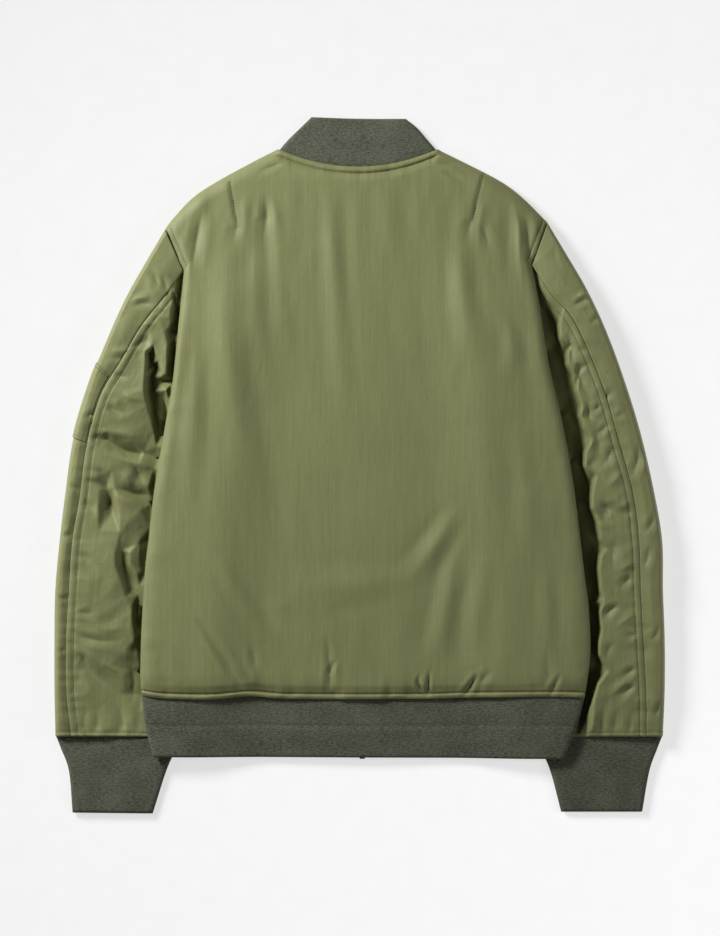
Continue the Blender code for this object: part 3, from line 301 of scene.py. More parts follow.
RIGHT_CREASES = (
    (3.0, -1.8, 0.4, 213, 260, 209, 247, 204, 235),
    (3.2, -2.0, 0.4, 224, 239, 219, 226, 217, 201),
    (4.0, 1.4, 0.4, 209, 228, 211, 208, 220, 188),
    (3.0, -1.8, 0.3, 254, 183, 245, 180, 235, 178),
    (4.0, -2.0, 0.6, 232, 157, 236, 135, 239, 109),
    (4.0, -2.6, 0.5, 239, 109, 247, 98, 252, 85),
    (3.6, -2.4, 0.5, 254, 76, 256, 62, 257, 51),
    (4.0, -2.4, 0.5, 260, 42, 267, 27, 269, 13),
    (3.0, -1.3, 0.6, 242, 127, 249, 130, 257, 127),
    (3.0, -1.9, 0.3, 269, 70, 263, 62, 254, 60),
    (3.0, -1.9, 0.3, 278, 47, 269, 38, 260, 38),
    (4.0, -1.9, 0.3, 283, 22, 276, 6, 267, -5),
    (4.6, -2.6, 0.5, 267, -38, 276, -47, 285, -54),
    (3.4, -1.8, 0.5, 267, -54, 276, -61, 287, -62),
    (4.0, 1.5, 0.3, 294, -5, 283, -18, 274, -23),
    (4.0, 1.4, 0.3, 303, -38, 292, -45, 280, -43),
    (5.0, -1.7, 0.5, 287, -79, 283, -101, 285, -119),
    (3.4, -2.2, 0.3, 305, -123, 296, -131, 288, -141),
    (4.0, 1.4, 0.3, 307, -106, 294, -115, 283, -117),
    (3.4, -2.4, 0.4, 294, -155, 278, -163, 269, -178),
    (4.2, 1.5, 0.4, 310, -164, 298, -171, 283, -184),
    (3.0, -1.8, 0.3, 310, -190, 301, -190, 293, -191),
    (4.0, -1.6, 0.5, 287, -195, 278, -206, 276, -222),
    (3.4, -2.2, 0.3, 310, -225, 299, -232, 289, -241),
    (3.4, -2.2, 0.3, 310, -244, 296, -252, 283, -259),
    (4.0, 1.4, 0.5, 303, -234, 289, -249, 274, -262),
    (3.6, -1.3, 0.8, 292, -267, 287, -280, 285, -299),
    (3.6, -1.3, 0.8, 271, -269, 270, -283, 269, -299),
    (3.6, -1.2, 0.8, 305, -269, 304, -283, 302, -299),
)
RIGHT_OUT_CREASES = (
    (3.2, -1.4, 0.4, 222, 253, 231, 235, 240, 213),
    (2.6, -2.2, 0.4, 237, 179, 244, 182, 252, 184, 259, 182),
    (3.0, 1.3, 0.4, 242, 188, 250, 191, 258, 189),
    (2.8, -1.3, 0.5, 255, 157, 264, 164, 271, 169),
    (2.8, -1.6, 0.4, 269, 73, 277, 79, 286, 83),
    (2.8, -1.4, 0.5, 282, 54, 290, 56, 298, 56),
    (3.4, -1.6, 0.5, 310, 29, 311, 12, 307, -5, 300, -16),
    (3.6, 1.1, 0.5, 318, 20, 318, 2, 313, -14),
    (3.2, -1.6, 0.5, 331, -50, 325, -66, 315, -78),
    (3.2, -1.7, 0.5, 321, -88, 323, -95, 320, -108, 314, -113),
    (3.0, -1.3, 0.5, 336, -176, 330, -190, 323, -198),
    (3.0, -1.5, 0.6, 337, -258, 334, -270, 330, -284),
)

# The hidden sides have similar creases, which press into the cloth from below
FRONT_CREASES = (
    (8, 1.6, 0.4, -150, 205, -120, 160, -105, 100),
    (7, 1.3, 0.4, -175, 150, -140, 110, -118, 50),
    (9, 1.4, 0.5, -60, 210, -52, 120, -56, 30),
    (10, 1.3, 0.5, -95, 40, -88, -60, -92, -150),
    (7, 1.2, 0.6, -40, -20, -36, -110, -44, -200),
    (5, 1.5, 0.7, -130, -170, -124, -210, -128, -256),
    (4, 1.6, 0.7, -78, -195, -84, -225, -80, -258),
    (4, 1.4, 0.6, -30, -205, -34, -230, -30, -258),
    (8, 1.5, 0.4, 142, 215, 126, 150, 118, 80),
    (7, 1.3, 0.5, 178, 140, 150, 90, 134, 20),
    (10, 1.4, 0.4, 70, 190, 62, 90, 68, -10),
    (9, 1.3, 0.5, 100, 0, 108, -90, 102, -170),
    (7, 1.2, 0.6, 46, -60, 52, -140, 44, -215),
    (5, 1.5, 0.7, 150, -165, 142, -215, 146, -256),
    (4, 1.6, 0.7, 92, -200, 86, -228, 92, -258),
    (4, 1.3, 0.6, 30, -210, 36, -232, 30, -258),
)
UNDER_SLEEVE_CREASES = (
    (6, 1.4, 0.4, -196, 178, -215, 168, -236, 166),
    (6, 1.5, 0.5, -190, 118, -222, 100, -258, 104),
    (5, 1.4, 0.4, -190, 66, -232, 46, -282, 52),
    (5, 1.6, 0.5, -192, 24, -236, 10, -280, -14),
    (5, 1.4, 0.5, -304, 6, -268, -34, -214, -48),
    (7, 1.3, 0.4, -200, -92, -246, -106, -308, -98),
    (6, 1.4, 0.5, -322, -140, -270, -168, -210, -160),
    (5, 1.3, 0.5, -212, -215, -262, -230, -314, -222),
    (4, 1.5, 0.7, -250, -266, -252, -284, -250, -306),
    (4, 1.3, 0.7, -292, -270, -290, -286, -292, -306),
    (6, 1.4, 0.5, 192, 190, 208, 172, 232, 176),
    (6, 1.5, 0.4, 184, 128, 214, 118, 250, 108),
    (5, 1.4, 0.5, 190, 74, 226, 60, 268, 70),
    (5, 1.6, 0.4, 196, 34, 240, 8, 290, 12),
    (5, 1.4, 0.5, 304, -14, 262, -40, 206, -30),
    (7, 1.3, 0.5, 206, -78, 254, -84, 306, -104),
    (6, 1.4, 0.4, 318, -150, 266, -158, 208, -178),
    (5, 1.3, 0.5, 214, -206, 262, -222, 310, -214),
    (4, 1.5, 0.7, 242, -268, 240, -284, 243, -306),
    (4, 1.3, 0.7, 284, -264, 286, -284, 283, -306),
)

# The two darts below the shoulders, as straight seams: x, y of their ends
DARTS = (
    (-146.3, 321.0, -135.5, 259.5),
    (138.8, 331.0, 123.5, 266.5),
)

# The upper sides of the sleeves beside the body, as flat facets between some points: x, y, z
LEFT_FACETS = (
    (-210, 197, 16), (-226, 172, 20), (-243, 145, 21), (-256, 121, 21.5), (-266, 98, 21.5),
    (-282, 74, 21), (-293, 46, 20.5), (-300, 18, 20.5), (-305, -16, 19.5), (-311, -50, 19.5),
    (-315, -83, 19.5), (-319, -117, 19.5), (-320, -162, 19), (-321, -206, 18), (-320, -251, 16),
    (-224, 165, 21), (-207, 167, 20), (-203, 153, 3), (-212, 157, 17), (-218, 149, 20), (-213, 124, 19),
    (-211, 104, 17), (-210, 87, 10), (-238, 140, 17), (-235, 152, 21), (-236, 126, 5), (-235, 114, 2),
    (-235, 98, 1), (-235, 83, 1), (-231, 67, 1), (-227, 51, 1), (-224, 36, 1), (-234, 127, 4),
    (-228, 112, 1), (-225, 94, 1), (-220, 76, 1), (-217, 60, 1), (-230, 135, 19), (-224, 118, 19),
    (-220, 101, 18), (-216, 85, 14), (-211, 69, 9), (-239, 127, 21), (-239, 116, 22), (-240, 102, 22),
    (-241, 85, 21), (-238, 68, 18), (-234, 53, 14), (-230, 38, 10), (-228, 22, 8), (-257, 105, 21.5),
    (-272, 74, 21.5), (-285, 47, 20.5), (-264, 53, 19.5), (-255, 31, 15), (-243, 15, 7), (-290, 31, 15),
    (-283, 30, 11), (-284, 37, 19.5), (-273, 22, 9), (-262, 17, 6), (-246, 12, 3), (-228, 8, 1.5),
    (-289, 39, 20), (-294, 21, 20.5), (-280, 13, 19.5), (-263, 8, 17), (-246, 4, 14.5), (-230, -3, 8),
    (-296, 5, 20.5), (-277, -5, 18), (-257, -9, 14), (-237, -23, 9), (-247, -9, 11), (-291, -27, 18),
    (-292, -44, 17.5), (-284, -25, 10), (-278, -38, 6), (-277, -51, 6), (-286, -47, 9), (-274, -26, 16),
    (-272, -38, 16.5), (-269, -52, 16.5), (-256, -29, 8), (-233, -42, 2), (-262, -38, 16.5),
    (-246, -50, 13), (-235, -69, 6), (-291, -72, 18.5), (-268, -74, 17), (-250, -89, 9),
    (-291, -111, 18.5), (-266, -94, 13), (-266, -102, 8), (-266, -111, 5), (-261, -125, 3),
    (-256, -139, 3), (-248, -144, 4), (-273, -97, 18.5), (-273, -112, 18), (-267, -128, 16.5),
    (-262, -147, 13.5), (-257, -97, 16), (-257, -110, 14), (-250, -121, 11), (-247, -134, 6),
    (-249, -158, 2), (-246, -178, 1), (-245, -195, 1), (-256, -159, 12.5), (-254, -178, 11.5),
    (-253, -195, 11), (-310, -225, 14), (-291, -238, 11), (-268, -255, 6), (-247, -275, 5),
    (-302, -212, 17.5), (-280, -223, 13.5), (-257, -244, 7.5), (-302, -251, 16), (-285, -267, 12.5),
    (-263, -286, 9.5), (-291, -150, 17.5), (-293, -190, 17), (-276, -173, 14),
)
RIGHT_FACETS = (
    (237, 149, 20), (243, 130, 20), (237, 135, 19), (241, 116, 20), (247, 109, 15), (255, 112, 20),
    (245, 99, 19), (251, 87, 17), (258, 87, 19), (258, 74, 20), (254, 67, 19.5), (256, 55, 16),
    (265, 52, 18), (260, 61, 20), (258, 47, 20), (269, 40, 20), (260, 29, 20), (274, 21, 20),
    (269, 14, 16), (276, 12, 19), (260, 12, 18), (258, 0, 16), (265, -9, 18.5), (274, -3, 20),
    (278, -22, 20), (269, -29, 20), (283, -38, 20), (263, -53, 17), (273, -55, 16), (283, -52, 17),
    (274, -65, 20), (287, -72, 20), (278, -81, 19), (276, -93, 17), (288, -90, 18), (276, -106, 19.5),
    (292, -106, 20), (283, -134, 18), (273, -150, 19.5), (276, -164, 17.5), (289, -155, 18),
    (280, -178, 19.5), (283, -206, 19), (278, -229, 18.5), (286, -249, 17), (274, -269, 16),
)
# The edge of the right sleeve's roll beside the body, where it falls into a deep hollow: x, y
RIGHT_RIDGE = (
    (222, 157), (223, 143), (231, 126), (231, 113), (238, 102), (241, 84), (247, 67), (245, 56),
    (250, 41), (251, 15), (250, 0), (260, -20), (258, -34), (258, -48), (265, -64), (268, -83),
    (268, -100), (266, -115), (268, -140), (267, -163), (269, -184), (266, -197), (266, -212),
    (265, -243), (260, -262), (254, -283),
)

# Seams. The bands are the distances of the stitches from the edges of their seams.
NECK_BAND = 7.4
HEM_BAND = 6.0
ARMHOLE_BAND = 7.0
SLEEVE_BAND = 8.0
CUFF_BAND = 5.0
ZIP_BAND = 8.0
POCKET_HEM = 3.5
NECK_DEPTH = 2.2         # how much deeper the neck's band is than the others, and the hem's
HEM_DEPTH = 1.5
BAND_EDGE = 0.6          # depth of a seam
BAND_CROWN = 0.45        # height of the band between a seam and its stitches
STITCH_GROOVE = 0.9      # depth of the groove that the stitches pull
POCKET_GROOVE = (0.5, 1.2)     # the same on the pocket, and its half width
EDGE_WIDTH = 1.2         # half width of a seam
SLEEVE_EDGE_WIDTH = 1.3  # the same, where the outer part of a sleeve starts
GROOVE_WIDTH = 1.1       # half width of the groove, and the same beside the zip
ZIP_GROOVE_WIDTH = 1.4
CROWN_WIDTH = 0.34       # half width of the crown, as a share of its band
SEAM_FADE = 10.0         # length over which an armhole's seam gives way to a folded side
SIDE_DROP = 4.0          # how far below the armhole a front's folded side starts
NECK_SIDE_FADE = 12.0    # width over which a front's folded shoulder starts beside the neck
NECK_FADE = (0.012, 0.02)      # how far past the neck its seam reaches and fades, as shares of the width
RIB_SEAM_LOFT = 0.72     # share of a panel's loft beside a rib, its width there and its reach
RIB_SEAM_FLAT = 4.8
RIB_SEAM_REACH = 12.0
ARMHOLE_LOFT = 0.62      # the same share beside an armhole, and its reach
ARMHOLE_REACH = 14.0

# Small gathers along the seams: pitch, reach, height, and a seed where there is only one such
# seam. Those of the body start some way from its edges.
NECK_GATHERS = (9, 11, 0.6, 11)
HEM_GATHERS = (15, 16, 1.0, 21)
SIDE_GATHERS = (24, 15, 0.9)
SIDE_SEEDS = (31, 41)    # of the left and the right side
SLEEVE_GATHERS = (13, 12, 0.9)
CUFF_GATHERS = (10, 16, 0.9)
GATHER_DRIFT = 0.3       # how much a gather changes with the distance from its seam
GATHER_LENGTH = 1.5      # its length as a share of its pitch
GATHER_FINE = 0.5        # height of the finer gathers between the others, and their pitch
GATHER_FINE_PITCH = 0.45
GATHERS_FROM = 6.0
SIDE_GATHERS_FROM = 9.0

# Stitches
STITCH_PITCH = 3.3       # distance from one stitch to the next
STITCH_LENGTH = 2.5
STITCH_SPAN = 0.3        # how far along the pitch to either side its direction is taken
STITCH_THICK = 0.42
STITCH_TAPER = 0.96      # how much of its roundness a stitch loses at its ends
STITCH_RISE = 0.15       # height of its middle above the cloth
STITCH_SIDES = 6
STITCH_RINGS = 5
DART_STITCHES = (0.04, 0.9, 40)    # shares of a dart between which it is stitched, and points on it

# Creases and darts
WIDE_FROM = 5.5          # half width from which a crease is a wide one
WIDE_CREASE = (1.2, 0.55)      # roundness of its middle, and how much of its height it keeps
NARROW_CREASE = (0.25, 1.1)
CREASE_TAPER = (0.75, 0.5)     # share of its width that a crease starts with, and what it gains
CREASE_FALL = 1.5        # how steeply a crease falls off beside its middle
CREASE_REACH = 5.0       # half widths within which a crease has an effect
CREASE_STEP = 4          # every so many points of its fine line are used
SWELL = 0.3              # height of the swelling beside a crease, as a share of its depth
SWELL_AT = 2.4           # its distance from the crease, in half widths
BACK_CREASE_GAIN = 1.2   # how much stronger the creases are than their tables say
SLEEVE_CREASE_GAIN = 1.1
HIDDEN_CREASE_GAIN = 1.8
DART_DEPTH = 1.3         # depth of a dart's seam and its half width
DART_WIDTH = 1.5
DART_STEP = 0.7          # height of the cloth that a dart raises beside it, and its half width
DART_STEP_WIDTH = 11.0
DART_STEEP = 2.0         # distance over which one side of a dart gives way to the other
DART_FADE = (0.1, 0.25)  # shares of its length over which a dart fades in and out

# Unevenness of the cloth: height, slant, width, length and seed of the back's hills, height, size
# and seed of its crumples, and height and sizes of those of the sleeves and the ribs
BACK_HILLS = (
    (0.35, 0.0, 34, 190, 3),
    (0.25, 0.2, 17, 75, 4),
)
BACK_CRUMPLE = (0.25, 46, 5)
CRUMPLE_TURN = (0.8, 0.6)      # cosine and sine of the turn between crossing crumples
CRUMPLE_BEND = 0.5       # how far a crumple wanders, as a share of its size
CRUMPLE_SIZES = (1.3, 0.8)     # length of one set and width of the other, as shares of the size
CRUMPLE_ROUND = 0.01     # how round the top of a crumple is
SLEEVE_CRUMPLE = (0.7, 30)
SLEEVE_HILLS = (0.8, 24, 40)
RIB_HILLS = (0.25, 26, 30, 51)
CUFF_HILLS = (0.5, 22, 45)
CUFF_SEEDS = (61, 71)    # of the left and the right cuff

# Sleeves and pocket
LEFT_SLEEVE_SEED = 100   # seed of the random forms of each sleeve
RIGHT_SLEEVE_SEED = 200
SLEEVE_PLUMP = 5.0       # how much fuller the sleeves are than their solids
CROWN_AT = 0.5           # share of the way to the outer fold at which a sleeve is fullest
FOLD_PLUMP = 0.7         # share of the plumpness that is left at that fold
RISE_FROM_HOLLOW = 0.25  # share of the way to the inner fold over which a sleeve rises from its hollow
SLEEVE_FLOOR = 1.2       # lowest height of a sleeve's upper side beside the body
FOLD_REACH = 6.0         # reach of the rounding beside a sleeve's outer fold
BODY_EDGE = 2.0          # distance from the body's edge within which a sleeve stays low, and its
BODY_EDGE_SLOPE = 1.4    # slope from there
ROWS_A_CORNER = 16       # rows of the mesh between two corners along a sleeve's seam
BESIDE_BODY = 1.5        # height of the sleeves in the hollows beside the body
ROLL_TOP = 19.0          # height of the right sleeve's roll, and half the width of its side
ROLL_STEEP = 1.6
CUFF_CORNERS = ((0.2, 12.5), (0.4, 11.0), (0.6, 9.5), (0.8, 9.0))    # share across the cuff, height
HOLLOW_DEEPER = 4.0      # how much deeper the hollows are than in the solids
FACET_SLACK = 0.001      # how far outside a facet a point may be and still count as on it
SAME_CORNER = 0.01       # distance within which two corners are one
LINING_DEPTH = 3.0       # depth of a sleeve's inner points, and how near its fold they move inwards
LINING_REACH = 30.0
POCKET_SKIN = 1.3        # height of the pocket above the sleeve, and the width over which it rises
POCKET_RAMP = 14.0

# Ribs
RIB_TUCK = 2.0           # how far the ribs reach in under the shell
COLLAR_FRONT_TUCK = 4.6  # the same, for the collar's front, and how near to its folds it fades
COLLAR_TUCK_REACH = 16.0
COLLAR_RISE = (1.9, 4.6)       # how far the front layers of the ribs rise at their seams, and its reach
WAISTBAND_RISE = (0.6, 2.5)
COLLAR_REST = 0.4        # height of the middle of the collar where only its back layer is left
COLLAR_REST_FROM = 12.0  # distance above the front's edge from which it comes down, and its reach
COLLAR_REST_REACH = 60.0
FREE_EDGE_LOFT = 0.35    # share of a rib's thickness at its free edge, and the edge's radius
FREE_EDGE_RADIUS = 3.2
RIB_SEAM_DEPTH = 0.5     # depth of the ribs' seams and of the cuffs', and their half width
CUFF_SEAM_DEPTH = 0.6
RIB_SEAM_WIDTH = 3.0
MID_LINE_DEPTH = 0.6     # the line along the middle of the waistband, and its share of the width
MID_LINE_WIDTH = 0.035
ZIP_SWELL = 2.6          # rise of the waistband over the end of the zip, and its half width
ZIP_SWELL_WIDTH = 75.0
GAP_SLACK = 0.002        # smallest share between a column and the end of a band at its opening
GAP_PLACE = 0.03         # how near to the middle of a band its opening is, as a share

# Mesh density
CURVE_STEPS = 24         # fine points between two points of a table
LATTICE = 128            # random heights on each side of the lattice of the hills
TURNED = 4               # points by which the edge of a skin turns in
BACK_ROWS = 330
BACK_CROWDING = 0.7      # how much the rows crowd towards both ends, and so on below
BACK_SHOULDER_COLUMNS = 78
BACK_NECK_COLUMNS = 122
SHOULDER_SHARE = 0.315   # share of the back's width that each shoulder takes
SHOULDER_POWER = 1.25    # how much the columns crowd towards the sides
ARMHOLE_SHARE = 0.096    # share of the back's height that the armholes take
ARMHOLE_SKIP = 8         # rows at the shoulder that the armhole's stitches leave free
FRONT_ROWS = 150
FRONT_COLUMNS = 80
FRONT_CROWDING = 0.5
ARMHOLE_POINTS = 30
NECK_CLEAR = 1.0         # how near to a front's edge the points of its neck and its hem come
HEM_CLEAR = 5.0
SLEEVE_ROWS = 330
OUTER_COLUMNS = (34, 1.8)      # columns on top of a sleeve's piece, and how they crowd to its fold
INNER_COLUMNS = (110, 1.3)
UNDER_COLUMNS = (26, 1.7)
CAD_SLEEVE_ROWS = 23     # rows of the sleeve's solid, which the pocket's rows count in
POCKET_FROM = 2          # first column of the sleeve that the pocket covers, and how many underneath
POCKET_UNDER = 12
POCKET_SHOWN = 6         # a column of the pocket that looks up
RIB_COLUMNS = 220
RIB_CROWDING = 0.55
BAND_SKIN_ROWS = 60
CUFF_COLUMNS = 80
CUFF_CROWDING = 0.7
CUFF_ROWS = 70

# Colours, as linear light
OLIVE = (0.197, 0.205, 0.086)
RIB_DARK = (0.034, 0.037, 0.024)
RIB_LIGHT = (0.132, 0.141, 0.101)
TAPE_GREEN = (0.07, 0.075, 0.045)
ZIP_METAL = (0.12, 0.11, 0.09)
# The thread's own dark olive, made darker still to paint the shade of the grooves that its stitches lie in
THREAD_WITH_GROOVE_SHADE = (0.075, 0.08, 0.035)
WHITE = (1.0, 1.0, 1.0, 1.0)
BACK_CRUMPLED = 0.25     # strength of the nylon's finest crumples
SLEEVE_CRUMPLED = 0.5
RIB_PITCH = 2.6          # distance from one rib of the knit to the next
WAVE_TURN = 0.31831      # scale at which a wave texture repeats once a unit

# The stage: each lamp's name, power in watts, width in metres, azimuth and elevation in
# degrees and distance in metres from the middle of the jacket
LAMPS = (
    ("key", 47, 0.6, 142, 31, 1.9),
    ("left", 8, 0.6, 178, 22, 2.2),
    ("right", 9, 0.8, 0, 28, 2.4),
    ("near", 6, 0.8, -35, 38, 2.4),
)
SURROUND = 0.03
PAPER_GLOW = 0.64        # light of the floor itself, which keeps its shadows pale
PAPER_SHADE = 0.32       # how much of the light that falls on it the floor returns
PAPER_GRAIN = (0.97, 1.03)     # the darkest and the lightest flecks of the floor
PAPER_SLOPE = (0.79, -0.63)    # how much lighter it gets in a metre along X and Y, away from the key lamp
PAPER_MIDDLE = 1.05      # share of its shade that it has below the jacket, and the least and most
PAPER_RANGE = (0.4, 1.7)
FLOOR_REACH = 6.0        # half of its width in metres, and its height
FLOOR_DROP = -0.0004
LENS = 120.0
SENSOR = 36.0
FRAME_HEIGHT = 936 * 1.12      # height in millimetres that the picture shows
VIEW_X = 0.45            # where the camera looks, and the level at which the scale holds
VIEW_Y = -2.5
VIEW_LEVEL = 9.0


# Curves, patches and random forms

def smooth_run(points):
    """A fine line through some points, along a Catmull-Rom curve."""
    points = np.array(points, float)
    ends = [2 * points[0] - points[1], *points, 2 * points[-1] - points[-2]]
    t = np.linspace(0, 1, CURVE_STEPS, endpoint=False)[:, None]
    fine = []
    for before, start, end, after in zip(ends, ends[1:], ends[2:], ends[3:]):
        bend = 2 * before - 5 * start + 4 * end - after
        twist = 3 * start - before - 3 * end + after
        fine.append(start + 0.5 * ((end - before) * t + bend * t**2 + twist * t**3))
    return np.vstack([*fine, points[-1:]])


def between(line, places, wanted):
    """Points at some wanted places on a line whose own points are at other places."""
    return np.stack([np.interp(wanted, places, column) for column in line.T], axis=-1)


def along(line, shares):
    """Points at some shares of a line's length."""
    steps = np.linalg.norm(np.diff(line, axis=0), axis=1)
    reach = np.concatenate([[0], np.cumsum(steps)])
    return between(line, reach, np.asarray(shares) * reach[-1])


def sections_at(table, places):
    """The rows of a table at some places between its rows, along smooth curves."""
    line = smooth_run(table)
    return between(line, range(len(line)), np.asarray(places) * CURVE_STEPS)


def patch(top, bottom, left, right, u, v):
    """A grid of points between four edges that share their corners. Its rows run down."""
    u = u[None, :, None]
    v = v[:, None, None]
    corners = ((1 - u) * (1 - v) * top[0] + u * (1 - v) * top[-1]
               + (1 - u) * v * bottom[0] + u * v * bottom[-1])
    across = (1 - v) * top[None] + v * bottom[None]
    down = (1 - u) * left[:, None] + u * right[:, None]
    return across + down - corners


def closer_ends(count, share):
    """Shares from 0 to 1. A given share of the crowding of a cosine draws them to both ends."""
    even = np.linspace(0, 1, count)
    return share * ((1 - np.cos(np.pi * even)) / 2) + (1 - share) * even


def ease(t):
    """A smooth step from 0 to 1."""
    t = np.clip(t, 0, 1)
    return t * t * (3 - 2 * t)


def rounding(distance, radius):
    """A quarter ellipse: 0 at a folded edge, and 1 from the radius inwards."""
    t = 1 - np.clip(distance / radius, 0, 1)
    return np.sqrt(1 - t * t)


def bump(distance, width):
    """A soft hump of height 1."""
    return np.exp(-(distance / width) ** 2)


def arch(t):
    """A parabola that is 0 at 0 and at 1, and 1 halfway."""
    return 4 * t * (1 - t)


def apart(points, others):
    """The distances between two sets of points in plan."""
    return np.linalg.norm(points[..., :2] - others[..., :2], axis=-1)


def from_edges(plan):
    """The distances of a grid's points from its first and last rows, and first and last columns."""
    return [apart(plan, edge) for edge in (plan[:1], plan[-1:], plan[:, :1], plan[:, -1:])]


def with_height(plan, z):
    """Plan points with their heights."""
    return np.concatenate([plan, np.broadcast_to(z, plan.shape[:-1])[..., None]], axis=-1)


def hills(x, y, width, length, seed):
    """Smooth random heights between -1 and 1, in hills of about some width and length."""
    lattice = np.random.default_rng(seed).uniform(-1, 1, (LATTICE, LATTICE))
    column = np.asarray(x) / width + LATTICE / 2
    row = np.asarray(y) / length + LATTICE / 2
    i = np.floor(column).astype(int)
    j = np.floor(row).astype(int)
    s = ease(column - i)
    t = ease(row - j)

    def corner(di, dj):
        return lattice[(j + dj) % LATTICE, (i + di) % LATTICE]

    near = corner(0, 0) * (1 - s) + corner(1, 0) * s
    far = corner(0, 1) * (1 - s) + corner(1, 1) * s
    return near * (1 - t) + far * t


def crumple(x, y, size, seed):
    """Crossing ridges of crumpled cloth, between about -1 and 1. One set is turned from the other."""
    bent_x = x + size * CRUMPLE_BEND * hills(x, y, size, size, seed + 1)
    bent_y = y + size * CRUMPLE_BEND * hills(x, y, size, size, seed + 2)
    cosine, sine = CRUMPLE_TURN
    turned_x = cosine * bent_x - sine * bent_y
    turned_y = sine * bent_x + cosine * bent_y
    longer, narrower = CRUMPLE_SIZES
    wave = hills(bent_x, bent_y, size, size * longer, seed)
    wave = wave + hills(turned_x, turned_y, size * narrower, size, seed + 3)
    return 1 - 2 * np.sqrt(wave * wave * 0.25 + CRUMPLE_ROUND)


def creases_at(x, y, table):
    """The height that a table of creases adds. Each dies out towards its ends, and the cloth
    beside it swells the other way. A wide one is shallower and rounder than a narrow one."""
    total = np.zeros(np.shape(x))
    start_width, widening = CREASE_TAPER
    for width, height, peak, *path in table:
        line = smooth_run(np.reshape(path, (-1, 2)))[::CREASE_STEP]
        low = line.min(0) - CREASE_REACH * width
        high = line.max(0) + CREASE_REACH * width
        near = (x > low[0]) & (x < high[0]) & (y > low[1]) & (y < high[1])
        points = np.stack([x[near], y[near]], axis=-1)
        distance = np.full(len(points), np.inf)
        place = np.zeros(len(points))
        for number, (start, end) in enumerate(zip(line, line[1:])):
            span = end - start
            t = np.clip((points - start) @ span / (span @ span), 0, 1)
            reach = np.linalg.norm(points - start - t[:, None] * span, axis=-1)
            closer = reach < distance
            distance = np.where(closer, reach, distance)
            place = np.where(closer, (number + t) / (len(line) - 1), place)
        strength = ease(np.minimum(place / peak, (1 - place) / (1 - peak)))
        d = distance / (width * (start_width + widening * place))
        round_middle, gain = WIDE_CREASE if width > WIDE_FROM else NARROW_CREASE
        fold = np.exp(-CREASE_FALL * (np.sqrt(d * d + round_middle**2) - round_middle))
        total[near] += gain * height * strength * (fold - SWELL * bump(d - SWELL_AT, 1))
    return total


def pressed_in(x, y, table):
    """How far the creases of a hidden side press into it. None comes out below the rest."""
    return HIDDEN_CREASE_GAIN * np.maximum(creases_at(x, y, table), 0)


def facets(x, y, corners):
    """The heights at some points of the flat facets between some corners, each an x, y and z."""
    corners = np.array(corners, float)
    made = delaunay_2d_cdt([Vector(corner[:2]) for corner in corners], [], [], 0, SAME_CORNER)
    near, triangles, source = np.array(made[0]), made[2], made[3]
    heights = corners[[first[0] for first in source], 2]
    z = np.full(np.shape(x), np.nan)
    for triangle in triangles:
        a, b, c = near[list(triangle)]
        height_a, height_b, height_c = heights[list(triangle)]
        turn = np.linalg.det(np.array([b - a, c - a]))
        to_b = ((x - a[0]) * (c - a)[1] - (y - a[1]) * (c - a)[0]) / turn
        to_c = ((b - a)[0] * (y - a[1]) - (b - a)[1] * (x - a[0])) / turn
        inside = (to_b > -FACET_SLACK) & (to_c > -FACET_SLACK) & (to_b + to_c < 1 + FACET_SLACK)
        plane = height_a + to_b * (height_b - height_a) + to_c * (height_c - height_a)
        z = np.where(inside, plane, z)
    return z


def softened(z):
    """Heights on a grid, blurred a little with those beside them."""
    wide = np.pad(z, 1, mode="edge")
    return (wide[:-2, 1:-1] + wide[2:, 1:-1] + wide[1:-1, :-2] + wide[1:-1, 2:] + 4 * z) / 8


def puckers(distance, place, pitch, reach, height, seed):
    """Small uneven gathers along a seam, which fade with the distance from it."""
    depth = distance * GATHER_DRIFT
    wave = hills(place, depth, pitch, pitch * GATHER_LENGTH, seed)
    wave = wave + GATHER_FINE * hills(place, depth, pitch * GATHER_FINE_PITCH, pitch, seed + 1)
    return height * wave * np.exp(-distance / reach)


def stitched_band(distance, width, depth=1.0):
    """The relief of a band beside a seam: a rolled edge, a crown, and the groove of its stitches."""
    edge = -BAND_EDGE * bump(distance, EDGE_WIDTH)
    crown = BAND_CROWN * bump(distance - width * 0.5, width * CROWN_WIDTH)
    groove = -STITCH_GROOVE * bump(distance - width, GROOVE_WIDTH)
    return edge + (crown + groove) * depth


# Heights of the layers of the body, as its solids have them

def past_inner_fold(x, y, table):
    """How far a point is from a sleeve's inner fold, towards the middle of the body."""
    inner = np.array(table)[::-1, 4:6]
    edge = np.interp(y, inner[:, 1], inner[:, 0])
    return x - edge if edge.flat[0] < 0 else edge - x


def lift(x, y, bottom, top, ramp=LIFT_RAMP):
    """How far the sleeves raise the body, fading out between two heights up the jacket."""
    fade = ease((top - y) / (top - bottom))
    left = 1 - ease(past_inner_fold(x, y, LEFT_SLEEVE) / ramp)
    right = 1 - ease(past_inner_fold(x, y, RIGHT_SLEEVE) / ramp)
    return SLEEVE_LIFT * fade * np.maximum(left, right)


def near_zip(x):
    """1 beside the front zip, and 0 away from it."""
    return 1 - ease((np.abs(x - ZIP_X) - ZIP_PLATEAU) / ZIP_RAMP)


def hem_height(x):
    """The hem's y at some x."""
    return np.interp(x, *np.array(HEM).T)


def near_seams(x, y):
    """1 over most of the body, and 0 at the neck and the hem."""
    return ease(np.minimum(y - hem_height(x), NECK_LEVEL - y) / THIN_REACH)


def body_middle(x, y, lifted):
    """The height at which the back lies on the fronts, over a given lift."""
    thin = RIB_WALL + RIB_SLACK
    layer = thin + (FRONT_WALL - thin) * near_seams(x, y)
    return lifted + layer + (ZIP_COVER - layer) * near_zip(x) * (1 - lifted / SLEEVE_LIFT)


def back_middle(x, y):
    """The same, over the lift that the back itself has."""
    return body_middle(x, y, lift(x, y, *BACK_LIFT_FADE))


# Meshes

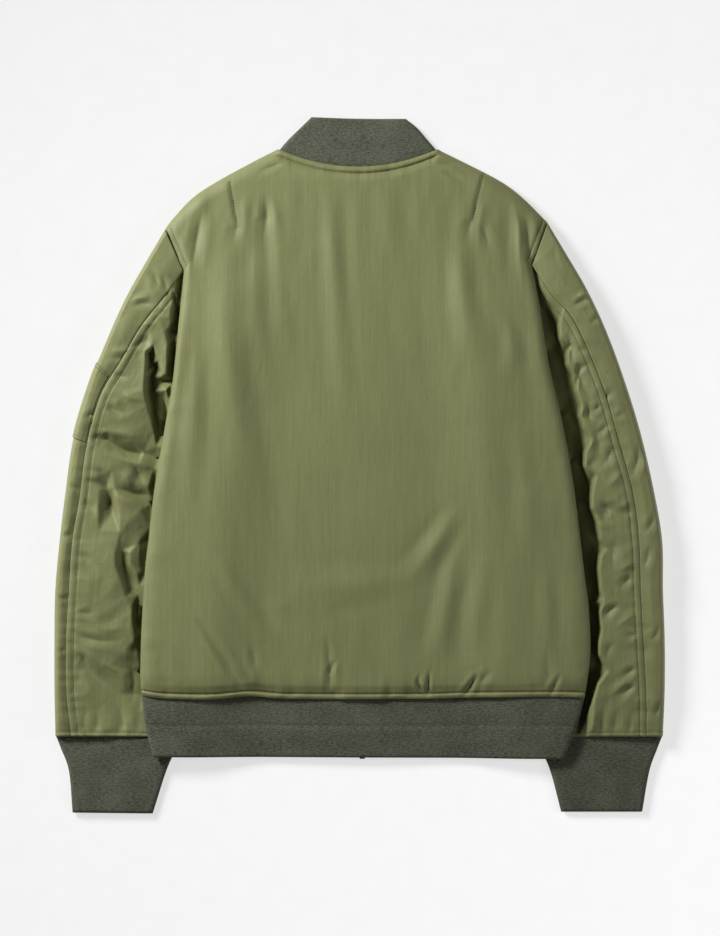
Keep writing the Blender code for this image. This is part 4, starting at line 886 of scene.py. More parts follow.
def add_object(name, data):
    """An object in the scene for a mesh, a lamp or a camera."""
    made = bpy.data.objects.new(name, data)
    bpy.context.scene.collection.objects.link(made)
    return made


def dress(name, points, faces, look):
    """An object of a mesh in millimetres that rides on the jacket."""
    mesh = bpy.data.meshes.new(name)
    mesh.from_pydata((np.reshape(points, (-1, 3)) * MM).tolist(), [], faces)
    mesh.materials.append(look)
    made = add_object(name, mesh)
    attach(made, BODY)
    return made


def turned_in(outer, inner, closed=False):
    """Outer points with two more rings round their open edges, which turn in over the inner layer."""
    rows, columns = outer.shape[:2]

    def padded(count):
        index = np.arange(-2, count + 2)
        near = np.clip(index, 0, count - 1)
        return index, near, np.select([index < -1, index > count], [TURNED, count - 1 - TURNED], near)

    r, near_r, deep_r = padded(rows)
    if closed:
        c = near_c = deep_c = np.arange(columns)
    else:
        c, near_c, deep_c = padded(columns)
    shown = ((r >= 0) & (r < rows))[:, None] & ((c >= 0) & (c < columns))[None, :]
    return np.where(shown[..., None], outer[near_r][:, near_c], inner[deep_r][:, deep_c])


def grid_quads(rows, columns, spans):
    """The corners of the faces of a grid of points, some spans wide."""
    i = np.arange(rows - 1)[:, None] * columns
    j = np.arange(spans)[None, :]
    after = (j + 1) % columns
    corners = (i + j, i + after, i + columns + after, i + columns + j)
    return np.stack(np.broadcast_arrays(*corners), axis=-1)


def cloth_skin(name, points, look, nodes, top, closed=False, straight_grain=False):
    """A sheet over a grid of points, in place of some solids. It looks up at the column named top.
    Its UV map gives the distance along the cloth in metres, across and down its grain."""
    rows, columns = points.shape[:2]
    spans = columns if closed else columns - 1
    quads = grid_quads(rows, columns, spans)
    next_column = points[:, (np.arange(spans) + 1) % columns]
    steps_across = np.linalg.norm(next_column - points[:, :spans], axis=-1).mean(axis=0)
    steps_down = np.linalg.norm(np.diff(points, axis=0), axis=-1).mean(axis=1)
    across = np.concatenate([[0], np.cumsum(steps_across)])[None, :]
    down = np.concatenate([[0], np.cumsum(steps_down)])[:, None]
    left, right, upper, lower = across[:, :-1], across[:, 1:], down[:-1], down[1:]
    u = np.stack([left, right, right, left], axis=-1)
    v = np.stack([upper, upper, lower, lower], axis=-1)
    uv = np.stack(np.broadcast_arrays(u, v), axis=-1)
    if straight_grain:
        uv = points.reshape(-1, 3)[quads][..., :2]
    corner = points[rows // 2, top]
    normal = np.cross(points[rows // 2, top + 1] - corner, points[rows // 2 + 1, top] - corner)
    if normal[2] < 0:
        quads = quads[..., ::-1]
        uv = uv[..., ::-1, :]
    made = dress(name, points, quads.reshape(-1, 4).tolist(), look)
    made.data.uv_layers.new(name="cloth").data.foreach_set("uv", (uv * MM).astype(np.float32).ravel())
    made.data.shade_smooth()
    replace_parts(made, *nodes)


def beside_line(x, y, ends):
    """The distances of some points from a straight line, and their shares of its length."""
    x0, y0, x1, y1 = ends
    length = np.hypot(x1 - x0, y1 - y0)
    aside = ((x - x0) * (y1 - y0) - (y - y0) * (x1 - x0)) / length
    share = ((x - x0) * (x1 - x0) + (y - y0) * (y1 - y0)) / length**2
    return aside, share


def line_at(points, distance, wanted):
    """The line through a grid at some distance from its first row. Distances grow down each column."""
    columns = zip(points.swapaxes(0, 1), distance.T)
    return np.array([between(column, d, wanted) for column, d in columns])


def line_beside(points, wanted):
    """The line through a grid at some distance from its first row, in plan."""
    return line_at(points, apart(points, points[:1]), wanted)


def stitches(name, lines, look, side=1):
    """Rows of short stitches of thread along some lines that lie on the cloth."""
    turns = np.linspace(0, 2 * np.pi, STITCH_SIDES, endpoint=False)
    rings = np.linspace(-1, 1, STITCH_RINGS)[:, None, None]
    girth = np.sqrt(1 - (rings * STITCH_TAPER) ** 2)
    vertices = []
    for line in lines:
        length = np.linalg.norm(np.diff(line, axis=0), axis=1).sum()
        count = max(int(length / STITCH_PITCH), 1)
        shares = (np.arange(count) + 0.5) / count
        places = along(line, shares) + [0, 0, side * STITCH_RISE]
        ahead = along(line, shares + STITCH_SPAN / count) - along(line, shares - STITCH_SPAN / count)
        ahead /= np.linalg.norm(ahead, axis=1, keepdims=True)
        aside = np.cross([0, 0, 1], ahead)
        aside /= np.linalg.norm(aside, axis=1, keepdims=True)
        up = np.cross(ahead, aside)
        for place, a, b, n in zip(places, ahead, aside, up):
            ring = (np.cos(turns)[:, None] * b + np.sin(turns)[:, None] * n) * STITCH_THICK
            vertices.append(place + a * rings * STITCH_LENGTH / 2 + ring[None] * girth)
    one = grid_quads(STITCH_RINGS, STITCH_SIDES, STITCH_SIDES).reshape(1, -1, 4)
    first = np.arange(len(vertices))[:, None, None] * STITCH_SIDES * STITCH_RINGS
    made = dress(name, vertices, (one + first).reshape(-1, 4).tolist(), look)
    made.data.shade_smooth()


# The body

def beside_rib(distance):
    """The share of a panel's loft beside its seam with a rib."""
    return RIB_SEAM_LOFT + (1 - RIB_SEAM_LOFT) * ease((distance - RIB_SEAM_FLAT) / RIB_SEAM_REACH)


def side_share(distance, y, armhole_end):
    """A panel's share of loft beside its side: a seam at the armhole, and below it a fold."""
    armhole = ease((y - armhole_end) / ARMHOLE_REACH)
    seam = ARMHOLE_LOFT + (1 - ARMHOLE_LOFT) * ease(distance / ARMHOLE_REACH)
    return armhole * seam + (1 - armhole) * rounding(distance, FOLD_RADIUS)


def body_side(shoulder, side, v):
    """One side edge of the back: the armhole, and then the fold down to the hem."""
    armhole = np.array([shoulder, side[0]], float)
    upper = v < ARMHOLE_SHARE
    return np.vstack([along(armhole, v[upper] / ARMHOLE_SHARE),
                      along(smooth_run(side), (v[~upper] - ARMHOLE_SHARE) / (1 - ARMHOLE_SHARE))])


def back_plan():
    """The grid of the back in plan, and the place of each column as a share of the width."""
    to_edge = np.linspace(0, 1, BACK_SHOULDER_COLUMNS, endpoint=False) ** SHOULDER_POWER * SHOULDER_SHARE
    neck = np.linspace(SHOULDER_SHARE, 1 - SHOULDER_SHARE, BACK_NECK_COLUMNS)
    u = np.concatenate([to_edge, neck, 1 - to_edge[::-1]])
    v = closer_ends(BACK_ROWS, BACK_CROWDING)
    left_line = body_side(SHOULDER_LEFT[0], SIDE_LEFT, v) + [SEAM, 0]
    right_line = body_side(SHOULDER_RIGHT[-1], SIDE_RIGHT, v) - [SEAM, 0]
    left, _, right, neck_y, sag = COLLAR_ROWS[0][:5]
    across = (neck - SHOULDER_SHARE) / (1 - 2 * SHOULDER_SHARE)
    neck_line = np.stack([left + (right - left) * across,
                          neck_y - BACK_NECK_SEAM - sag * arch(across)], axis=-1)
    top = np.vstack([along(smooth_run(SHOULDER_LEFT), to_edge / SHOULDER_SHARE), neck_line,
                     along(smooth_run(SHOULDER_RIGHT), 1 - to_edge[::-1] / SHOULDER_SHARE)])
    hem = smooth_run(HEM)
    for line, end in ((top, 0), (hem, -1)):
        line[0] = left_line[end]
        line[-1] = right_line[end]
    return patch(top, along(hem, u), left_line, right_line, u, v), u


def back_loft(x, y):
    """How far the back rises above the layer below it, with its creases and its darts."""
    raised = lift(x, y, *BACK_LIFT_FADE) / SLEEVE_LIFT
    loft = BACK_LOFT_MIDDLE + (BACK_LOFT_SIDE - BACK_LOFT_MIDDLE) * raised
    loft = loft + creases_at(x, y, BACK_CREASES) * BACK_CREASE_GAIN
    for height, slant, width, length, seed in BACK_HILLS:
        loft = loft + height * hills(x + slant * y, y, width, length, seed)
    height, size, seed = BACK_CRUMPLE
    loft = loft + height * crumple(x, y, size, seed)
    for ends in DARTS:
        aside, share = beside_line(x, y, ends)
        inside = ease(share / DART_FADE[0]) * ease((1 - share) / DART_FADE[1])
        step = DART_STEP * np.tanh(aside / DART_STEEP) * bump(aside, DART_STEP_WIDTH)
        loft = loft + inside * (step - DART_DEPTH * bump(aside, DART_WIDTH))
    return loft


def back_grid():
    """The outer and the inner points of the back, its distances from the top, the hem, the left
    and the right, and which of its columns are at the neck."""
    plan, u = back_plan()
    x, y = plan[..., 0], plan[..., 1]
    from_top, from_hem, from_left, from_right = distances = from_edges(plan)
    left_seed, right_seed = SIDE_SEEDS
    sides = ((from_left, SIDE_LEFT[0][1], left_seed), (from_right, SIDE_RIGHT[0][1], right_seed))
    past, fade = NECK_FADE
    at_neck = ease((u - SHOULDER_SHARE + past) / fade) * ease((1 - SHOULDER_SHARE + past - u) / fade)
    share = at_neck * beside_rib(from_top) + (1 - at_neck) * rounding(from_top, FOLD_RADIUS)
    share = share * beside_rib(from_hem)
    for distance, armhole_end, _ in sides:
        share = share * side_share(distance, y, armhole_end)
    smooth = body_middle(x, y, lift(x, y, *BACK_LIFT_FADE, SKIN_RAMP))
    smooth = smooth - (ZIP_COVER - FRONT_WALL) * near_zip(x)
    z = smooth + SHEET_GAP + RIM + (back_loft(x, y) - RIM) * share
    gathers = puckers(np.abs(from_top - NECK_BAND), x, *NECK_GATHERS) * ease(from_top / GATHERS_FROM)
    z = z + at_neck * (stitched_band(from_top, NECK_BAND, NECK_DEPTH) + gathers)
    z = z + stitched_band(from_hem, HEM_BAND, HEM_DEPTH)
    z = z + puckers(np.abs(from_hem - HEM_BAND), x, *HEM_GATHERS) * ease(from_hem / GATHERS_FROM)
    for distance, armhole_end, seed in sides:
        at_armhole = ease((y - armhole_end) / SEAM_FADE)
        gathers = puckers(distance, y, *SIDE_GATHERS, seed) * ease(distance / SIDE_GATHERS_FROM)
        z = z + at_armhole * stitched_band(distance, ARMHOLE_BAND) + (1 - at_armhole) * gathers
    inner = with_height(plan, np.minimum(back_middle(x, y) + SHEET_GAP, z - LEAST_WALL))
    return with_height(plan, z), inner, distances, (u > SHOULDER_SHARE) & (u < 1 - SHOULDER_SHARE)


def front_outline(table, shoulder, side, side_top):
    """The lines round one front in plan: its top, its hem, its edge at the zip and its side."""
    hand = 1 if side_top[0] > 0 else -1
    edge_x = ZIP_X + hand * FRONT_EDGE_X
    armhole = sleeve_under(np.array(table[:1], float), np.linspace(1, 0, ARMHOLE_POINTS))[0][0]
    below = smooth_run(side)
    below = below[below[:, 1] < side_top[1] - SIDE_DROP]
    side_line = np.vstack([armhole - [hand * CURVED_SEAM, 0], [side_top], below])
    collar = np.array(COLLAR_ROWS[:1], float)
    neck = band_line(collar, band_shares(COLLAR_ROWS, False)[0], "front", False)[0] - [0, FRONT_NECK_SEAM]
    neck = neck[neck[:, 0] * hand > edge_x * hand + NECK_CLEAR][::hand]
    top_line = np.vstack([[edge_x, neck[0, 1]], neck, shoulder[1:-1], side_line[:1]])
    hem = smooth_run(HEM)
    hem = hem[hem[:, 0] * hand > edge_x * hand + HEM_CLEAR][::hand]
    hem_line = np.vstack([[edge_x, hem_height(edge_x)], hem[:-1], side_line[-1:]])
    return top_line, hem_line, np.array([top_line[0], hem_line[0]]), side_line


def front_grid(table, shoulder, side, side_top):
    """The points of one front's underside, from the zip to the side, those of its upper side, and
    its distances from the zip."""
    top_line, hem_line, zip_line, side_line = front_outline(table, shoulder, side, side_top)
    u = closer_ends(FRONT_COLUMNS, FRONT_CROWDING)
    v = closer_ends(FRONT_ROWS, FRONT_CROWDING)
    top = along(top_line, u)
    plan = patch(top, along(hem_line, u), along(zip_line, v), along(side_line, v), u, v)
    x, y = plan[..., 0], plan[..., 1]
    from_top, _, _, from_side = from_edges(plan)
    from_zip = np.abs(x - zip_line[0, 0])
    raised = lift(x, y, *FRONT_LIFT_FADE)
    top_z = body_middle(x, y, raised) - 2 * SHEET_GAP
    at_zip = 1 - ease((from_zip - FRONT_EDGE_FLAT) / FRONT_EDGE_RAMP)
    top_z = top_z + (FRONT_EDGE_TOP - top_z) * at_zip
    at_shoulder = ease((np.abs(top[:, 0]) - COLLAR_HALF) / NECK_SIDE_FADE)[None, :]
    folded = rounding(from_top, FOLD_RADIUS) * at_shoulder + 1 - at_shoulder
    below_armhole = 1 - ease((y - side_top[1] - SIDE_DROP) / SEAM_FADE)
    share = folded * (rounding(from_side, FOLD_RADIUS) * below_armhole + 1 - below_armhole)
    z = raised + (top_z - RIM - raised) * (1 - share)
    height, reach = FRONT_EDGE_ROUND
    z = z + height * (1 - rounding(from_zip, reach))
    z = z + STITCH_GROOVE * bump(from_zip - ZIP_BAND, ZIP_GROOVE_WIDTH)
    z = z + pressed_in(x, y, FRONT_CREASES) * ease(from_zip / ZIP_RAMP)
    return with_height(plan, z), with_height(plan, np.maximum(top_z, z + FRONT_LEAST_WALL)), from_zip


# The sleeves

def sleeve_points(rows):
    """The outer fold, the back seam and the inner fold of some sections, in plan."""
    return rows[:, None, 0:2], rows[:, None, 2:4], rows[:, None, 4:6]


def under_body(x, y):
    """The height that a sleeve keeps below, under the body and close beside its edge."""
    side = SIDE_LEFT if x.flat[0] < 0 else SIDE_RIGHT
    edge = np.array(side)[::-1]
    outside = np.abs(x) - np.abs(np.interp(y, edge[:, 1], edge[:, 0]))
    below = np.minimum(UNDERLAP_Z, back_middle(x, y) - LEAST_WALL)
    return below + BODY_EDGE_SLOPE * np.maximum(outside - BODY_EDGE, 0)


def sleeve_corners(rows):
    """The corners of a sleeve's facets: its own, those along its seam and inner fold, and those
    low beside the edge of the body."""
    left = rows[0, 0] < 0
    some = rows[::ROWS_A_CORNER]
    corners = list(LEFT_FACETS if left else RIGHT_FACETS)
    corners += [(x, y, z + SLEEVE_PLUMP) for x, y, z in some[:, [2, 3, 7]]]
    corners += [(x, y, UNDERLAP_Z) for x, y in some[:, 4:6]]
    corners += [(x, y, BESIDE_BODY) for x, y in (SIDE_LEFT if left else SIDE_RIGHT)[1:]]
    cuff_seam, cuff_fold = rows[-1, 2:4], rows[-1, 4:6]
    corners += [(*(cuff_seam + (cuff_fold - cuff_seam) * share), z) for share, z in CUFF_CORNERS]
    if not left:
        corners += [(x + ROLL_STEEP, y, ROLL_TOP) for x, y in RIGHT_RIDGE]
        corners += [(x - ROLL_STEEP, y, BESIDE_BODY) for x, y in RIGHT_RIDGE]
    return corners


def sleeve_top(rows, shares, creases, part, seed):
    """Points of a sleeve's upper side. The outer part runs from the back seam to the outer fold,
    and the inner part from the back seam to the inner fold, with the seam's stitched band."""
    outer, seam, inner = sleeve_points(rows)
    end = outer if part == "outer" else inner
    t = shares[None, :]
    plan = seam + (end - seam) * t[..., None]
    x, y = plan[..., 0], plan[..., 1]
    seam_z, crown_z, ridge_at, ridge_z, hollow_at, hollow_z = (rows[:, k, None] for k in range(7, 13))
    from_seam = apart(plan, seam)
    if part == "outer":
        z = seam_z + (crown_z - seam_z) * ease(t / CROWN_AT)
        z = z + SLEEVE_PLUMP * (1 - (1 - FOLD_PLUMP) * t * t)
        z = z - BAND_EDGE * bump(from_seam, SLEEVE_EDGE_WIDTH)
    else:
        z = seam_z + (ridge_z - seam_z) * ease(t / ridge_at)
        z = z + (hollow_z - HOLLOW_DEEPER - ridge_z) * ease((t - ridge_at) / (hollow_at - ridge_at))
        z = z + (UNDERLAP_Z + HOLLOW_DEEPER - hollow_z) * ease((t - hollow_at) / RISE_FROM_HOLLOW)
        z = z + SLEEVE_PLUMP * (1 - ease(t / hollow_at))
        shaped = facets(x, y, sleeve_corners(rows))
        z = softened(np.where(np.isnan(shaped), z, shaped))
        z = z + stitched_band(from_seam, SLEEVE_BAND)
    z = z + creases_at(x, y, creases) * SLEEVE_CREASE_GAIN
    z = z + puckers(np.abs(from_seam - SLEEVE_BAND * (part == "inner")), y, *SLEEVE_GATHERS, seed)
    height, size = SLEEVE_CRUMPLE
    z = z + height * crumple(x, y, size, seed + 2)
    height, width, length = SLEEVE_HILLS
    z = z + height * hills(x, y, width, length, seed + 3)
    from_cuff = apart(plan, plan[-1:])
    z = z + stitched_band(from_cuff, CUFF_BAND)
    z = z + puckers(np.abs(from_cuff - CUFF_BAND), x, *CUFF_GATHERS, seed + 7)
    z = np.maximum(z, SLEEVE_FLOOR)
    if part == "inner":
        z = np.minimum(z, under_body(x, y))
    edge = rounding(apart(plan, end), FOLD_REACH if part == "outer" else SLEEVE_RADIUS)
    return plan, SLEEVE_MIDDLE + (z - SLEEVE_MIDDLE) * edge


def sleeve_under(rows, shares):
    """Points of a sleeve's underside, from the inner fold to the outer one. It bows towards the
    body, as the armhole does."""
    outer, _, inner = sleeve_points(rows)
    t = shares[None, :, None]
    across = outer - inner
    towards_body = np.stack([-across[..., 1], across[..., 0]], axis=-1) * np.sign(inner[..., :1])
    towards_body /= np.linalg.norm(across, axis=-1, keepdims=True)
    plan = inner + across * t + towards_body * rows[:, 6, None, None] * np.sin(np.pi * t)
    from_fold = np.minimum(apart(plan, outer), apart(plan, inner))
    return plan, SLEEVE_MIDDLE * (1 - rounding(from_fold, SLEEVE_RADIUS))


def towards(points, others):
    """The directions in plan from some points to others."""
    return (others - points) / apart(others, points)[..., None]


def sleeve_grid(table, creases, part, seed):
    """The outer points of one of a sleeve's two pieces, its inner ones, and its count on top."""
    rows = sections_at(table, np.linspace(0, len(table) - 1, SLEEVE_ROWS))
    outer, seam, inner = sleeve_points(rows)
    fold, other = (outer, inner) if part == "outer" else (inner, outer)
    count, power = OUTER_COLUMNS if part == "outer" else INNER_COLUMNS
    top_shares = 1 - (1 - np.linspace(0, 1, count)) ** power
    top_plan, top_z = sleeve_top(rows, top_shares, creases, part, seed)
    under_from = 1.0 if part == "outer" else 0.0
    under_count, power = UNDER_COLUMNS
    under_shares = under_from + (UNDER_SEAM - under_from) * np.linspace(0, 1, under_count)[1:] ** power
    under_plan, under_z = sleeve_under(rows, under_shares)
    under_z = under_z + pressed_in(under_plan[..., 0], under_plan[..., 1], UNDER_SLEEVE_CREASES)
    top_plan[:, :1] += towards(seam, fold) * SEAM / 2
    under_plan[:, -1:] += towards(other, fold) * SEAM / 2
    skin = np.concatenate([with_height(top_plan, top_z), with_height(under_plan, under_z)], axis=1)
    from_middle = skin[..., 2] - SLEEVE_MIDDLE
    z = skin[..., 2] - from_middle * np.minimum(1, LINING_DEPTH / (1 + np.abs(from_middle)))
    near_fold = np.clip(1 - apart(skin, fold) / LINING_REACH, 0, 1)[..., None]
    return skin, with_height(skin[..., :2] + towards(fold, seam) * LINING_DEPTH * near_fold, z), count


# The ribs

def band_opening(lifted):
    """The middle of a band's opening in front, and half its width: at the zip or at the neck."""
    return (ZIP_X, FRONT_EDGE_X) if lifted else (0.0, COLLAR_GAP)


def gap_ends(t):
    """The two shares, on either side of the middle, between which a band is open in front."""
    start = int(np.argmax(np.diff(t) * (np.abs(t[:-1] + np.diff(t) / 2 - 0.5) < GAP_PLACE)))
    return t[start], t[start + 1]


def band_line(row, t, layer, lifted):
    """One line along a rib band: the back layer, or the front one up to the zip."""
    left, right = row[:, None, 0:2], row[:, None, 2:4]
    line = left + (right - left) * t[None, :, None]
    middle_x, gap = band_opening(lifted)
    for number, (start, end) in enumerate(zip(left[:, 0, 0], right[:, 0, 0])):
        marks = (start, middle_x - gap, middle_x + gap, end)
        line[number, :, 0] = np.interp(t, (0, *gap_ends(t), 1), marks)
    if layer == "back":
        line[..., 1] -= row[:, 4, None] * arch(t)
        return line
    for fold, hand, keep in ((left, -1, line[0, :, 0] < middle_x), (right, 1, line[0, :, 0] > middle_x)):
        span = middle_x + hand * gap - fold[..., 0]
        s = (line[:, keep, 0] - fold[..., 0]) / span
        drop = fold[..., 1] - row[:, 5, None]
        line[:, keep, 1] = fold[..., 1] - drop * s - row[:, 6, None] * arch(s)
    return line


def band_shares(table, lifted):
    """Shares across a band that crowd towards its folds and skip the gap at the zip."""
    t = closer_ends(RIB_COLUMNS, RIB_CROWDING)
    left, right = table[0][0], table[0][2]
    middle_x, gap = band_opening(lifted)
    ends = [(middle_x - gap - left) / (right - left), (middle_x + gap - left) / (right - left)]
    before = np.append(t[t < ends[0] - GAP_SLACK], ends[0])
    after = np.append(ends[1], t[t > ends[1] + GAP_SLACK])
    return np.concatenate([before, after]), len(before)


def band_plan(table, lifted):
    """A flattened band of rib in plan, from one end of its front round the back to the other. Also
    how far down it each row is, its columns on the back, its distances from the folds, and the
    free edge of its front."""
    down = np.linspace(0, 1, BAND_SKIN_ROWS)[:, None]
    rows = sections_at(table, down[:, 0] * (len(table) - 1))
    t, half = band_shares(table, lifted)
    back = band_line(rows, t, "back", lifted)
    front = band_line(rows, t, "front", lifted)
    plan = np.concatenate([front[:, 1:half][:, ::-1], back, front[:, half:-1][:, ::-1]], axis=1)
    first, past = half - 1, half - 1 + len(t)
    on_back = np.zeros(plan.shape[1], bool)
    on_back[first:past] = True

    def to_fold():
        return np.minimum(apart(plan, plan[:, first:first + 1]), apart(plan, plan[:, past - 1:past]))

    if lifted:
        plan[..., 1] += (hem_height(plan[..., 0]) + RIB_TUCK - plan[:1, :, 1]) * (1 - down)
    else:
        away = ease(to_fold() / COLLAR_TUCK_REACH)
        plan[..., 1] -= (RIB_TUCK + np.where(on_back, 0, COLLAR_FRONT_TUCK - RIB_TUCK) * away) * (1 - down)
    return plan, down, on_back, to_fold(), front[-1]


def free_edge(distance):
    """The share of a rib's thickness at some distance from its free edge."""
    return FREE_EDGE_LOFT + (1 - FREE_EDGE_LOFT) * rounding(distance, FREE_EDGE_RADIUS)


def rib_grid(table, lifted, mid_line, rise, rise_reach):
    """The outer and inner points of a flattened band of rib that is open at the front, and the
    column in the middle of its back."""
    plan, down, on_back, from_fold, front_edge = band_plan(table, lifted)
    x, y = plan[..., 0], plan[..., 1]
    from_seam, from_free, _, _ = from_edges(plan)
    ground = lift(x, y, *FRONT_LIFT_FADE) if lifted else np.zeros(x.shape)
    middle = ground + RIB_WALL + RIB_SLACK
    if lifted:
        middle = middle + (ZIP_COVER - middle) * near_zip(x) * (1 - ground / SLEEVE_LIFT)
        smooth = lift(x, y, *FRONT_LIFT_FADE, SKIN_RAMP) + RIB_WALL + RIB_SLACK
        smooth = smooth + ZIP_SWELL * bump(x - ZIP_X, ZIP_SWELL_WIDTH)
    else:
        above_front = y - np.interp(x, *front_edge.T)
        alone = ease((above_front - COLLAR_REST_FROM) / COLLAR_REST_REACH) * on_back
        smooth = middle = middle - (middle - COLLAR_REST) * alone
    thick = rounding(from_fold, RIB_RADIUS) * free_edge(from_free)
    height, *hill = RIB_HILLS
    relief = height * hills(x, y, *hill) - RIB_SEAM_DEPTH * bump(from_seam, RIB_SEAM_WIDTH)
    relief = relief - mid_line * bump(down - 0.5, MID_LINE_WIDTH)
    back_z = smooth + (RIB_WALL + SHEET_GAP + relief) * thick
    front_z = middle - (middle - ground) * thick + rise * bump(from_seam, rise_reach)
    inner_z = middle + np.where(on_back, SHEET_GAP, -SHEET_GAP) * 0.5
    top = int(np.argmax(on_back)) + on_back.sum() // 2
    return with_height(plan, np.where(on_back, back_z, front_z)), with_height(plan, inner_z), top


def cuff_grid(table, seed):
    """The outer and inner points of a flattened tube of rib, which closes on itself."""
    down = np.linspace(0, 1, CUFF_ROWS)[:, None]
    rows = sections_at(table, down[:, 0] * (len(table) - 1))
    outer, inner = rows[:, None, 0:2], rows[:, None, 2:4]
    t = closer_ends(CUFF_COLUMNS, CUFF_CROWDING)
    across = np.concatenate([t, t[-2:0:-1]])[None, :, None]
    upper = np.concatenate([np.ones(CUFF_COLUMNS), -np.ones(CUFF_COLUMNS - 2)])[None, :]
    upper[0, 0] = upper[0, CUFF_COLUMNS - 1] = 0
    plan = outer + (inner - outer) * across
    plan[..., 1] += RIB_TUCK * (1 - down) ** 2
    x, y = plan[..., 0], plan[..., 1]
    from_seam, from_free, _, _ = from_edges(plan)
    from_fold = np.minimum(apart(plan, outer), apart(plan, inner))
    middle = RIB_WALL + SHEET_GAP
    height, width, length = CUFF_HILLS
    relief = np.where(upper > 0, height * hills(x, y, width, length, seed), 0)
    relief = relief - CUFF_SEAM_DEPTH * bump(from_seam, RIB_SEAM_WIDTH)
    thick = (middle + relief) * rounding(from_fold, RIB_RADIUS) * free_edge(from_free)
    inner_z = middle + upper * SHEET_GAP * 0.5
    return with_height(plan, middle + upper * thick), with_height(plan, inner_z), CUFF_COLUMNS // 2


# The zip

def zip_teeth(look):
    """The two rows of teeth of the closed chain, which mesh with each other."""
    count = int((ZIP_TOP - ZIP_BOTTOM - CHAIN_START) / TOOTH_PITCH)
    low, high = CHAIN_Z
    levels = ((low, TOOTH_TAPER), (low + TOOTH_BEVEL, 1), (high - TOOTH_BEVEL, 1), (high, TOOTH_TAPER))
    size = len(TOOTH_OUTLINE)
    sides = grid_quads(len(levels), size, size).reshape(-1, 4)
    ends = np.array([range(size - 1, -1, -1), range(3 * size, 4 * size)])
    vertices = []
    faces = []
    for number in range(2 * count):
        hand = 1 if number % 2 else -1
        y = ZIP_BOTTOM + CHAIN_START + (number + 0.5) * TOOTH_PITCH / 2
        for grid in (sides, ends):
            faces += (grid + len(vertices)).tolist()
        for z, grow in levels:
            for a, b in TOOTH_OUTLINE:
                x = ZIP_X + hand * (a * (CHAIN_WIDTH / 2 + TOOTH_OVERLAP) - TOOTH_OVERLAP)
                vertices.append((x, y + b * TOOTH_PITCH * TOOTH_WIDTH * grow, z))
    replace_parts(dress("zip_teeth", vertices, faces, look), "zip_chain")


# Materials

class Nodes:
    """A short way to write a material's nodes."""

    def __init__(self, name, roughness, metallic=0.0, sheen=0.0, specular=0.5):
        self.material = bpy.data.materials.new(name)
        self.material.use_nodes = True
        self.tree = self.material.node_tree
        self.shader = self.tree.nodes["Principled BSDF"]
        self.set(Roughness=roughness, Metallic=metallic, Sheen_Weight=sheen, Specular_IOR_Level=specular)

    def set(self, **values):
        """Plain values for the shader's own sockets, each named with _ for its spaces."""
        for key, value in values.items():
            self.shader.inputs[key.replace("_", " ")].default_value = value

    def feed(self, socket, value):
        """Links an output into a socket, or sets a plain value there."""
        if isinstance(value, bpy.types.NodeSocket):
            self.tree.links.new(value, socket)
        else:
            socket.default_value = value

    def add(self, kind, *first, settings=(), **inputs):
        """A node with some settings, values or links for its first inputs and for named ones, and
        its outputs."""
        node = self.tree.nodes.new(kind)
        for key, value in settings:
            setattr(node, key, value)
        for socket, value in zip(node.inputs, first):
            self.feed(socket, value)
        for key, value in inputs.items():
            self.feed(node.inputs[key], value)
        return node.outputs

    def stretched(self, source, across, down, depth=1.0):
        """Coordinates that count how many marks fit in a metre, across and down the cloth."""
        settings = [("operation", "MULTIPLY")]
        return self.add("ShaderNodeVectorMath", source, (across, down, depth), settings=settings)[0]

    def noise(self, source, across, down, depth=1.0, detail=2.0, distortion=0.0, roughness=0.5):
        """Noise with so many marks in a metre across and down the cloth."""
        return self.add("ShaderNodeTexNoise", Vector=self.stretched(source, across, down, depth), Scale=1.0,
                        Detail=detail, Distortion=distortion, Roughness=roughness)[0]

    def math(self, operation, a, b):
        """One sum on two values."""
        return self.add("ShaderNodeMath", a, b, settings=[("operation", operation)])[0]

    def total(self, *parts):
        """The sum of some values, each times its share."""
        scaled = [self.math("MULTIPLY", value, share) for value, share in parts]
        total = scaled[0]
        for value in scaled[1:]:
            total = self.math("ADD", total, value)
        return total

    def ramp(self, source, *stops):
        """A colour ramp through some places with their colours."""
        node = self.tree.nodes.new("ShaderNodeValToRGB")
        ramp = node.color_ramp
        while len(ramp.elements) < len(stops):
            ramp.elements.new(1.0)
        for element, (place, color) in zip(ramp.elements, stops):
            element.position = place
            element.color = (*color, 1)
        self.tree.links.new(source, node.inputs[0])
        return node.outputs[0]

    def bumps(self, *layers):
        """Bump layers on each other, each a height, its strength and its depth in millimetres."""
        below = {}
        for height, strength, depth in layers:
            normal = self.add("ShaderNodeBump", Height=height, Strength=strength,
                              Distance=depth * MM, **below)[0]
            below = {"Normal": normal}
        self.feed(self.shader.inputs["Normal"], normal)

    def color(self, value):
        """The base colour."""
        self.feed(self.shader.inputs["Base Color"], value)

    def cloth(self):
        """The cloth's own UV map, in metres."""
        return self.add("ShaderNodeUVMap", settings=[("uv_map", "cloth")])[0]

    def place(self):
        """The place in the jacket, in metres."""
        return self.add("ShaderNodeTexCoord")["Object"]


def shaded(color, share):
    """A colour made lighter or darker by a share."""
    return tuple(min(1.0, c * share) for c in color)


